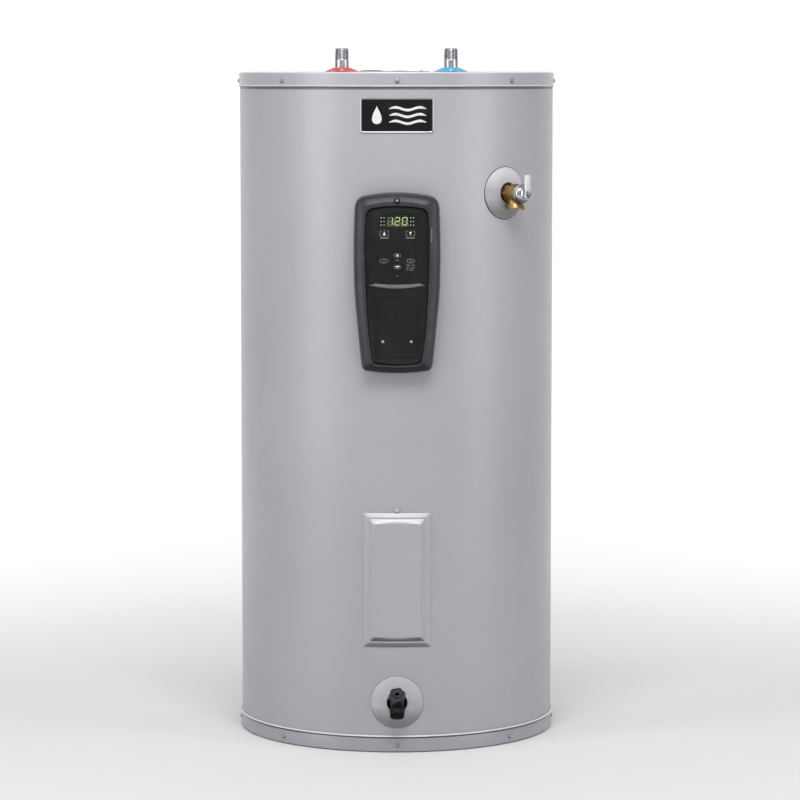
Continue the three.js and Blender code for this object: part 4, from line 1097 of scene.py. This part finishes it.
def accent_bar():
    """The crescent bar across the face, rounded along its length."""
    rows, steps = [], 48
    base = FACE_OUT + 0.3
    for k in range(steps + 1):
        t = 2 * k / steps - 1
        x = 50 * t
        low = 844.7 + 5.7 * t**2
        high = 851.4 + 3.0 * t**2 if abs(x) <= 36 else 854.4 - (abs(x) - 36) * 4.0 / 14 * 0.98
        high = max(high, low + 0.25)
        middle, half = (low + high) / 2, (high - low) / 2
        lift = min(1.1, 0.35 + half * 0.4)
        side = [(0, 1), (lift * 0.6, 0.97), (lift, 0.7)]
        rows.append([(x, -base - out, middle - half * share) for out, share in side]
                    + [(x, -base - out, middle + half * share) for out, share in reversed(side)])
    add_piece("control_crescent", loops(rows, cap_start=True, cap_end=True), ACCENT,
              ["control_accent_bar"])


SEGMENTS = {"1": "bc", "2": "abged", "0": "abcdef"}


def segment(name, x, z, width, height, thick, y0, y1):
    """One bar of a seven-segment digit, with pointed ends."""
    w, h, gap = width / 2, height / 2, thick * 0.12
    ends = {
        "a": ((-w, h), (w, h)), "b": ((w, h), (w, 0)), "c": ((w, 0), (w, -h)), "d": ((-w, -h), (w, -h)),
        "e": ((-w, -h), (-w, 0)), "f": ((-w, 0), (-w, h)), "g": ((-w, 0), (w, 0)),
    }[name]
    start, end = Vector(ends[0]), Vector(ends[1])
    along = (end - start).normalized()
    side = Vector((-along.y, along.x)) * thick / 2
    start, end = start + along * gap, end - along * gap
    tip = along * thick / 2
    outline = [start, start + tip - side, end - tip - side, end, end - tip + side, start + tip + side]
    points = [(x + p.x + (p.y / height) * 0.8, z + p.y) for p in outline]
    return front_plate(points, y0, y1, 0.02)


def display():
    """The dark window with three seven-segment digits behind it; the unlit bars carry a dimmer painted glow.
    """
    low, high = node_box("control_display")
    outline = rounded_box_outline(high.x - low.x, high.z - low.z, 1, (low.x + high.x) / 2,
                                  (low.z + high.z) / 2)
    add_piece("display_window", front_plate(outline, high.y, low.y, 0.3), GLASS,
              ["control_display"])
    back, front = low.y + 0.05, low.y - 0.04
    lit, dim = [], []
    for x, digit in ((-12.2, "1"), (0.4, "2"), (13.6, "0")):
        for name in "abcdefg":
            bar = segment(name, x, 964.3, 8.0, 13.4, 1.6, back, front)
            (lit if name in SEGMENTS[digit] else dim).append(bar)
    for x in (-6.2, 6.9, 20.0):
        dim.append(front_plate(ring_points(x, 957.4, 0.7, 16), back, front, 0.02))
    add_piece("display_digits", merged(*lit), LIT)
    add_piece("display_unlit_bars", merged(*dim), UNLIT_PAINTED_GLOW)


def ink(outline, out=FACE_OUT):
    """A printed mark: a very thin raised film on the face."""
    return front_plate(outline, -out + 0.02, -out - 0.06, 0.02)


def box_ink(x0, z0, x1, z1, out=FACE_OUT):
    return ink([(x0, z0), (x1, z0), (x1, z1), (x0, z1)], out)


def ink_band(outer, inner, out=FACE_OUT):
    """A printed ring between two outlines of the same number of points."""
    rows = [[(x, -(out + lift), z) for x, z in outline] for outline, lift in
            ((outer, -0.02), (outer, 0.06), (inner, 0.06), (inner, -0.02))]
    return loops(rows, closed_rows=True)


def almond(x, z, width, height, steps=40):
    """A lens outline with pointed ends left and right."""
    points = []
    for k in range(steps):
        turn = TURN * k / steps
        points.append((x + width / 2 * math.cos(turn),
                       z + height / 2 * math.sin(turn) * abs(math.sin(turn)) ** 0.35))
    return points


def bracket(x, z, width, height, line=0.55):
    """Corner lines round an icon, with a tick above it and a bar below it."""
    w, h, arm = width / 2, height / 2, width * 0.26
    parts = [box_ink(x - 7.4, z - 8.5, x + 7.4, z - 7.2), box_ink(x - 0.6, z + h + 0.9, x + 0.6, z + h + 2.0)]
    for side in (-1, 1):
        edge = x + side * w
        parts.append(box_ink(edge - line / 2, z - h, edge + line / 2, z + h))
        for end in (-1, 1):
            x0, x1 = sorted((edge - side * arm, edge))
            parts.append(box_ink(x0, z + end * h - line / 2, x1, z + end * h + line / 2))
    return parts


def lamps():
    """Two small columns of lamps on each side of the display."""
    dome = spun(raised([(0, -0.02), (0.68, -0.02), (0.68, 0.05), (0.4, 0.22), (0, 0.26)], FACE_OUT), 20)
    domes = [shifted(dome, x, 0, z) for x in (-28.4, -23.2, 24.4, 29.4) for z in (970.6, 964.1, 957.6)]
    add_piece("face_lamps", merged(*domes), LED)


def face_marks():
    """Icons and small generic lines printed on the face."""
    lamps()
    white, grey = [], []
    for x in (-22.8, 23.8):
        grey += bracket(x, 942.7, 15.3, 8.7)
    white.append(ink(drop_outline(-22.8, 942.4, 2.9)))
    white.append(ink([(21.0, 945.6), (26.6, 945.6), (24.5, 942.4), (24.5, 939.6), (23.1, 939.6),
                      (23.1, 942.4)]))
    grey += [box_ink(-2.4, 894.6, -0.4, 895.6), box_ink(0.2, 894.6, 3.2, 895.6)]
    for row, z in enumerate((885.6, 881.0, 877.0)):
        for k in range(6):
            if (k + row) % 4 != 3:
                grey.append(box_ink(16.6 + 2.6 * k, z, 18.4 + 2.6 * k, z + 1.3))
    grey.append(ink_band(ring_points(0.5, 867.2, 1.2, 24), ring_points(0.5, 867.2, 0.8, 24)))
    add_piece("face_icons", merged(*grey), GREY_INK)
    add_piece("face_glyphs", merged(*white), WHITE_INK)


def side_clip():
    """The slim pale catch on the inner edge of the housing's right side."""
    rows, out = [], 327.9
    for z, half, lift in ((925.8, 0.4, 0.1), (926.4, 0.95, 0.5), (928, 1.1, 0.7), (950, 1.1, 0.7),
                          (951.6, 0.95, 0.5), (952.2, 0.4, 0.1)):
        middle = 61.4 + (z - 939) * 0.012
        section = ((-1, -0.6), (-1, lift * 0.7), (-0.5, lift), (0.5, lift), (1, lift * 0.7), (1, -0.6))
        rows.append([(middle + half * share, -out - rise, z) for share, rise in section])
    add_piece("control_side_catch", loops(rows, cap_start=True, cap_end=True), ACCENT)


def key_signs(name, out):
    """The printed sign of each key, grey parts then white: an almond outline round a small generic glyph."""
    x, z, width, height = key_frame(name)
    width, height = width - 1.6, height - 1.4
    outline = ink_band(almond(x, z, width, height), almond(x, z, width - 2.6, height - 2.1), out)
    arrows = {
        "key_up": ((-2.6, -0.2), (0, 2.4), (2.6, -0.2), (0.9, -0.2), (0.9, -2.3), (-0.9, -2.3), (-0.9, -0.2)),
        "key_down": ((-4.6, 1.8), (4.6, 1.8), (3.2, 0.2), (1.0, 0.2), (0, -2.6), (-1.0, 0.2), (-3.2, 0.2)),
    }
    if name in arrows:
        return [outline], [ink([(x + right, z + up) for right, up in arrows[name]], out)]
    if name == "key_left":
        bars = [box_ink(x - 2.4 + 1.9 * k, z - 1.2, x - 1.4 + 1.9 * k, z + 0.2 + 0.7 * k, out)
                for k in range(3)]
        return [outline, *bars], []
    return [outline, ink_band(ring_points(x, z, 1.9, 24), ring_points(x, z, 1.2, 24), out)], []


def keys():
    """Four membrane keys, each domed at its edge, with its printed sign riding on it."""
    for name in KEY_CORNERS:
        low, high = node_box(name)
        x0, z0, _, _ = key_frame(name)
        rows = []
        for out, inset in ((-high.y, 0), (-low.y - 0.35, 0), (-low.y - 0.12, 0.2), (-low.y, 0.6)):
            row = []
            for x, z in key_outline(name):
                arm = Vector((x - x0, z - z0))
                arm *= 1 - inset / arm.length
                row.append((x0 + arm.x, -out, z0 + arm.y))
            rows.append(row)
        add_piece(f"{name}_cap", loops(rows, cap_start=True, cap_end=True), FACE, [name],
                  body=name)
        grey, white = key_signs(name, -low.y)
        add_piece(f"{name}_outline", merged(*grey), KEY_INK, body=name)
        if white:
            add_piece(f"{name}_arrow", merged(*white), WHITE_INK, body=name)


# ---------------------------------------------------------------- valves
def escutcheon(name, node, angle, z, radius, shadow_reach, material):
    """A moulded plate with a thin dark band round its rim that stands in for the shadow under it: it follows
    the wall and rises as a cone to a flat collar.
    """
    wall, collar = JACKET_RADIUS, 300.0
    inner, outer, bore, thick = 22.0, radius - 2.2, 18.3, 2.85
    rows, steps = [], 144

    def ring(r, depth):
        return [(x, depth(x), z + y) for x, y in ring_points(0, 0, r, steps)]

    for r, lift in ((radius - 0.5, 0.3), (radius, 0.7), (radius, 1.3), (radius - 0.35, 1.95),
                    (radius - 1.1, 2.5), (outer, thick)):
        rows.append(ring(r, lambda x: on_wall(x, wall) - lift))
    for k in range(1, 13):
        t = k / 12
        swell = 0.5 * math.sin(math.pi * t)
        rows.append(ring(outer + (inner - outer) * t,
                         lambda x: (on_wall(x, wall) - thick) * (1 - t) - collar * t - swell))
    for r, rise in ((21.2, 0.25), (20.2, 0.3), (19.2, 0.2), (18.6, -0.1), (bore, -0.7), (bore, -4.0)):
        rows.append(ring(r, lambda x: -(collar + rise)))
    rows.append(ring(bore, lambda x: on_wall(x, wall) - 0.3))
    place = side_place(angle, 0)
    add_piece(name, moved(loops(rows, closed_rows=True), place), material, [node],
              smooth_degrees=50)
    # Painted shade: a dark band just past the rim, standing in for the shadow gap between the plate and the
    # wall.
    rim = radius + shadow_reach
    shadow_band = [ring(r, lambda x: on_wall(x, wall + lift)) for r, lift in
              ((radius - 3, 0.1), (rim - 0.2, 0.1), (rim, 0.4), (rim - 0.2, 0.9), (radius - 3, 0.25))]
    add_piece(f"{name}_gasket", moved(loops(shadow_band, closed_rows=True), place), HIDDEN["rubber"])


RELIEF_OUTLET = 318.6
RELIEF_PLACE = side_place(RELIEF_ANGLE, RELIEF_Z)
ACROSS = Matrix.Rotation(math.pi / 2, 4, "Y")


def relief_spun(profile, steps, closed=False):
    """A turned piece on the relief valve's own axis."""
    return moved(outward(turned(profile, steps, closed)), RELIEF_PLACE)


def relief_body():
    """The brass casting: shank, hex, barrel and a flared outlet facing down."""
    barrel = [(0, 231), (13.35, 231), (13.35, 309), (15.0, 309.2), (15.0, 312.6), (16.2, 313.0),
              (16.9, 313.6), (17.2, 314.6), (17.2, 320.6), (16.7, 321.0), (16.7, 322.0), (17.2, 322.4),
              (17.2, 329.4), (16.9, 330.8), (16.2, 331.8), (0, 332)]
    skirt = [(0, -28.7), (17.3, -28.7), (17.65, -28.5), (17.75, -28.1), (17.75, -25.6), (17.5, -25.2),
             (16.9, -24.4), (15.6, -21.6), (14.4, -19.0), (13.6, -17.0), (13.2, -15.0), (13.2, -5), (0, -5)]
    socket = [(0, -40), (12.9, -40), (12.9, -28.2), (12.5, -27.6), (12.5, -20.2), (9, -19.6), (9, -3),
              (0, -3)]
    piece = add_piece("relief_body", relief_spun(barrel, 96), BRASS, ["relief_valve_body"])

    def downward(profile, steps):
        return moved(shifted(turned(profile, steps), 0, -RELIEF_OUTLET), RELIEF_PLACE)

    fuse(piece, moved(outward(hex_nut(30, 297.5, 311.2)), RELIEF_PLACE), downward(skirt, 96))
    inlet = relief_spun([(0, 225), (6.5, 225), (6.5, 311), (0, 311)], 40)
    chamber = relief_spun([(0, 309), (11, 309), (11, 336), (0, 336)], 48)
    carve(piece, inlet, chamber, downward(socket, 64))


def hex_nut(across, low, high):
    """A hexagon with its corners turned off at both ends."""
    corner = across / 2 / math.cos(math.pi / 6)
    ends = ((0, across * 0.5), (0.7, corner * 0.965), (1.3, corner))
    rows = []
    levels = [(low + rise, limit) for rise, limit in ends]
    levels += [(high - rise, limit) for rise, limit in reversed(ends)]
    for z, limit in levels:
        row = []
        for x, y in hexagon_outline(across):
            share = min(1.0, limit / math.hypot(x, y))
            row.append((x * share, y * share, z))
        rows.append(row)
    return loops(rows, cap_start=True, cap_end=True)


def relief_top():
    """The chromed bonnet with its two ears, the pin across them, and the stem with its disc and probe."""
    dome = [(11.5, 332.3), (16.9, 332.3), (17.35, 332.8), (17.35, 337.6), (17.2, 338.8), (16.7, 340.3),
            (15.7, 342.0), (14.2, 343.5), (12.2, 344.8), (10.0, 345.6), (8.0, 345.95), (3.6, 346),
            (3.1, 345.6), (3, 343.8), (11.5, 343.8)]
    bonnet = add_piece("relief_bonnet", relief_spun(dome, 96, closed=True), CHROME,
                       ["relief_valve_bonnet"])
    outline = soften([(-3.2, 0), (3.2, 0), (3.0, 8.0), (2.0, 9.6), (-2.0, 9.6), (-3.0, 8.0)], 1.2, 4)
    stand = Matrix(((0, 0, 1, 0), (0, -1, 0, -343.4), (1, 0, 0, -6), (0, 0, 0, 1)))
    fuse(bonnet, *[moved(moved(prism(outline, x, x + 1.6, 0.25), stand), RELIEF_PLACE) for x in (-7.8, 6.2)])
    pin_place = RELIEF_PLACE @ Matrix.Translation((0, -350, -6))
    carve(bonnet, moved(moved(turned([(0, -20), (1.7, -20), (1.7, 20), (0, 20)], 32), ACROSS), pin_place))
    pin = [(0, -8.8), (1.15, -8.8), (1.4, -8.5), (1.4, 8.5), (1.15, 8.8), (0, 8.8)]
    add_piece("relief_pin", moved(moved(turned(pin, 32), ACROSS), pin_place), STEEL,
              ["relief_lever_pin"])
    stem = [(0, 150), (3.4, 150), (4, 150.8), (4, 309.3), (9.2, 309.3), (9.5, 309.6), (9.5, 311.7),
            (9.2, 312), (2.6, 312.6), (2.2, 313), (2.2, 353.2), (3.3, 353.9), (3.6, 354.3), (3.6, 355.7),
            (3.2, 356.2), (0, 356.3)]
    add_piece("relief_stem", relief_spun(stem, 48), STEEL, ["relief_valve_stem"],
              body="relief_stem")


def relief_spring():
    """A coil spring with one closed turn at each end, built at its resting length."""
    low, high, lift = 312.9, 343.3, 4.0
    wire, coil, turns, steps = 0.9, 7.0, 6.5, 32
    closed_pitch = 2.1 * wire
    open_pitch = (high - low - 2 * wire - 2 * closed_pitch) / (turns - 2)
    path, height = [], low + wire
    for k in range(int(turns * steps) + 1):
        turn = TURN * k / steps
        path.append((coil * math.cos(turn), coil * math.sin(turn), height))
        closed = k < steps or k >= (turns - 1) * steps
        height += (closed_pitch if closed else open_pitch) / steps
    spring = add_piece("relief_spring", moved(outward(swept(path, wire, 12)), RELIEF_PLACE), STEEL,
                       ["relief_valve_spring"])
    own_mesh(spring)


def test_lever():
    """Two cheeks on the pin joined by a flat finger tab that stands up behind them."""
    out, up = 350.0, -6.0
    head = [(3 * math.cos(t), 3 * math.sin(t)) for t in (math.pi * (1 + k / 16) for k in range(17))]
    shank = [(2.2, 4.0), (1.4, 7.0), (0.78, 11.5), (0.78, 19.0)]
    outline = head + shank + [(-x, z) for x, z in reversed(shank)]
    stand = Matrix(((0, 0, 1, 0), (-1, 0, 0, -out), (0, 1, 0, up), (0, 0, 0, 1)))
    tab = front_plate(rounded_box_outline(14, 29.5, 3.2, 0, up + 25.25, 8), -out + 0.8, -out - 0.8, 0.3)
    lever = add_piece("relief_lever_plate", moved(tab, RELIEF_PLACE), LEVER,
                      ["relief_test_lever"], body="relief_lever")
    fuse(lever, *[moved(moved(prism(outline, x, x + 1.5, 0.22), stand), RELIEF_PLACE) for x in (4.2, -5.7)])
    hole = moved(turned([(0, -20), (1.55, -20), (1.55, 20), (0, 20)], 32), ACROSS)
    carve(lever, moved(hole, RELIEF_PLACE @ Matrix.Translation((0, -out, up))))


STEM_PLACE = Matrix.Translation((0, -319, DRAIN_Z + 6.2)) @ Matrix.Rotation(math.radians(50), 4, "X")


def drain_body():
    """The moulded drain valve: a barrel, a bell-shaped outlet with a hose thread, and a sloping neck."""
    z = DRAIN_Z
    barrel = [(0, 231), (13.35, 231), (13.35, 299.4), (12.6, 300), (11.5, 300.4), (11.5, 322.6),
              (11.1, 325.2), (9.8, 327.9), (7.6, 329.8), (5.2, 330.5), (0, 330.5)]
    piece = add_piece("drain_body", spun(barrel, 96, 0, z), VALVE_BLACK, ["drain_valve_body"])
    tip = [circle_row(r, h) for r, h in ((9.4, -23.4), (10.1, -23.4), (11.0, -22.9), (11.7, -21.9),
                                         (12.0, -20.8))]
    thread = threaded(13.3, 2.209, 1.2, -20.4, -12.2, steps=72, fade=1.3)
    bell = [circle_row(r, h) for r, h in ((12.4, -11.9), (13.7, -11.5), (14.0, -11.0), (14.0, -8.9),
                                          (13.7, -8.1), (12.7, -6.3), (11.6, -4.0), (10.9, -2.0),
                                          (10.6, -1.0))]
    neck = [(0, -8), (9.2, -8), (9.5, -7.4), (9.5, 8.4), (9.1, 8.9), (9.1, 10.2), (9.5, 10.7), (9.5, 12.4),
            (9.1, 13), (0, 13)]
    outlet = shifted(loops(tip + thread + bell, cap_start=True, cap_end=True), 0, -327, z)
    fuse(piece, outlet, moved(turned(neck, 64), STEM_PLACE))
    bore = [(0, -30), (9.7, -30), (9.3, -23.0), (9.3, -8.0), (5.8, -7.6), (5.8, -1), (0, -1)]
    socket = [(0, -9.8), (6.6, -9.8), (6.6, 15), (0, 15)]
    inlet = spun([(0, 225), (5.4, 225), (5.4, 320), (0, 320)], 40, 0, z)
    carve(piece, inlet, shifted(turned(bore, 64), 0, -327, z), moved(turned(socket, 48), STEM_PLACE))


def drain_knob():
    """The lobed handle with scalloped sides, a dished front, a raised boss and the stem's socket."""
    place = STEM_PLACE @ Matrix.Rotation(math.radians(14), 4, "Z")
    section = ((3.6, 0, 14.2), (12.4, 0.3, 14.0), (13.6, 0.6, 14.15), (14.3, 0.85, 14.8), (14.55, 0.9, 15.8),
               (14.55, 0.9, 24.0), (14.3, 0.85, 25.0), (13.7, 0.7, 25.75), (12.9, 0.5, 26.0),
               (11.8, 0.25, 25.9), (11.2, 0.1, 25.2), (10.6, 0, 24.6), (7.6, 0, 24.4), (7.1, 0, 24.7),
               (6.9, 0, 25.4), (6.8, 0, 27.4), (6.4, 0, 27.9), (5.8, 0, 28.0), (4.1, 0, 28.0), (3.7, 0, 27.7),
               (3.6, 0, 27.0))
    rows, steps = [], 144
    for radius, lobe, height in section:
        row = []
        for turn in (TURN * i / steps for i in range(steps)):
            reach = radius + lobe * (math.cos(6 * turn) - 0.2 * math.cos(12 * turn))
            row.append((reach * math.cos(turn), reach * math.sin(turn), height))
        rows.append(row)
    ribs = []
    for x, y in ring_points(0, 0, 1, 6):
        ribs.append(swept([(x * r, y * r, h) for r, h in ((7.2, 24.8), (9.0, 25.1), (11.6, 25.3))], 0.75, 10))
    handle = moved(merged(loops(rows, closed_rows=True), *ribs), place)
    add_piece("drain_knob_handle", handle, KNOB, ["drain_valve_knob"], body="drain_knob",
              smooth_degrees=45)
    plug = [(0, -9.4), (5.5, -9.4), (5.9, -9.0), (5.9, -6.4), (5.4, -6.0), (3.2, -5.4), (3.2, 16.9),
            (2.6, 17.5), (0, 17.5)]
    add_piece("drain_plug_stem", moved(turned(plug, 40), place), HIDDEN["rubber"],
              ["drain_valve_plug"], body="drain_plug")


# ---------------------------------------------------------------- hidden parts, camera and light
HIDDEN_FINISH = {
    "inner_tank": "enamelled_steel", "foam_insulation": "insulation_foam", "base_insulation": "white_foam",
    "dip_tube": "dip_plastic", "anode_rod": "anode_aluminium", "junction_box": "zinc_steel",
    "wiring_conduit": "zinc_steel", "upper_element": "copper", "lower_element": "copper",
    "upper_limit_control": "dark_plastic", "lower_temperature_sensor": "dark_plastic",
    "access_insulation_pad": "white_foam", "control_board": "board_green",
}


def dress_hidden_nodes():
    """The pieces inside keep their frame shapes and take full finishes."""
    for name, finish in HIDDEN_FINISH.items():
        mesh = frame["nodes"][name].data
        mesh.materials.clear()
        mesh.materials.append(HIDDEN[finish])


def camera():
    """The photo's view: the heater stands turned by a fraction of a degree, so the camera swings round it."""
    eye = bpy.data.cameras.new("camera")
    eye.lens = 153.57
    eye.sensor_width = 36
    eye.clip_end = 100
    swing, tilt = math.radians(-0.27), math.radians(90 - 5.557)
    holder = bpy.data.objects.new("camera", eye)
    x, y, z = 0.00665, -6.390, 1.2357
    cos, sin = math.cos(swing), math.sin(swing)
    holder.location = (x * cos - y * sin, x * sin + y * cos, z)
    holder.rotation_euler = (tilt, 0, swing)
    scene.collection.objects.link(holder)
    scene.camera = holder


def area_light(name, place, aim, width, height, power):
    light = bpy.data.lights.new(name, "AREA")
    light.shape = "RECTANGLE"
    light.size, light.size_y = width, height
    light.energy = power
    holder = bpy.data.objects.new(name, light)
    holder.location = place
    holder.rotation_euler = (Vector(aim) - Vector(place)).to_track_quat("-Z", "Y").to_euler()
    scene.collection.objects.link(holder)


def lights():
    """Two tall soft banks at the sides, a broad panel above, a weak front fill and two backdrop washes."""
    area_light("left_bank", (-3.3, -2.2, 1.7), (0, 0, 0.9), 1.5, 3.2, 40)
    area_light("right_bank", (3.35, -1.9, 1.7), (0, 0, 0.9), 1.5, 3.2, 31)
    area_light("overhead", (0, -2.7, 3.6), (0, -0.2, 0.7), 2.6, 1.5, 84)
    area_light("front_fill", (0, -5.6, 2.6), (0, 0, 0.9), 2.8, 1.4, 3)
    area_light("left_wash", (-2.4, 1.6, 2.6), (-1.5, 5.0, 1.2), 1.5, 1.5, 58)
    area_light("right_wash", (2.4, 1.6, 2.6), (1.5, 5.0, 1.2), 1.5, 1.5, 58)
    world = bpy.data.worlds.new("studio")
    world.use_nodes = True
    background = world.node_tree.nodes["Background"].inputs
    background["Color"].default_value = (1.0, 1.0, 1.0, 1.0)
    background["Strength"].default_value = 0.29
    scene.world = world


def floor():
    """A plain pale studio floor that runs up into a backdrop, which is clear when seen from behind."""
    s = Shader("studio_floor")
    s.set(Base_Color=(0.93, 0.93, 0.93, 1), Roughness=0.85, Specular_IOR_Level=0.1)
    clear = s.add("BsdfTransparent").outputs["BSDF"]
    sides = s.add("MixShader", {"Fac": s.add("NewGeometry").outputs["Backfacing"]})
    s.links.new(s.surface.outputs["BSDF"], sides.inputs[1])
    s.links.new(clear, sides.inputs[2])
    s.links.new(sides.outputs["Shader"], s.nodes["Material Output"].inputs["Surface"])
    section = [(-20, 0)] + [(3.2 + 1.6 * math.sin(t), 1.6 - 1.6 * math.cos(t))
                           for t in (math.pi / 2 * k / 12 for k in range(13))] + [(4.8, 7)]
    verts = [(x, y, z) for y, z in section for x in (-20.0, 20.0)]
    faces = [[2 * i, 2 * i + 1, 2 * i + 3, 2 * i + 2] for i in range(len(section) - 1)]
    mesh = bpy.data.meshes.new("studio_floor")
    mesh.from_pydata(verts, [], faces)
    mesh.materials.append(s.material)
    mesh.shade_smooth()
    sweep = bpy.data.objects.new("studio_floor", mesh)
    scene.collection.objects.link(sweep)


# ---------------------------------------------------------------- assembly
scene.view_settings.view_transform = "Standard"
camera()
lights()
floor()
jacket()
base_pan()
top_pan()
rim_screws()
for pipe_side, pipe_x in (("hot", -NIPPLE_X), ("cold", NIPPLE_X)):
    nipple(pipe_side, pipe_x)
colour_ring("hot", -NIPPLE_X, RED)
colour_ring("cold", NIPPLE_X, BLUE)
anode_cap()
junction_lid()
badge_plate()
access_panel()
control_housing()
control_face()
control_cover()
top_screw()
accent_bar()
display()
face_marks()
keys()
side_clip()
escutcheon("relief_collar", "relief_escutcheon", RELIEF_ANGLE, RELIEF_Z, 47, 1.0, RIM_TOP_LIT)
escutcheon("drain_collar", "drain_escutcheon", 0.0, DRAIN_Z, 47.5, 0.3, RIM_GREY)
relief_body()
relief_top()
relief_spring()
test_lever()
drain_body()
drain_knob()
dress_hidden_nodes()
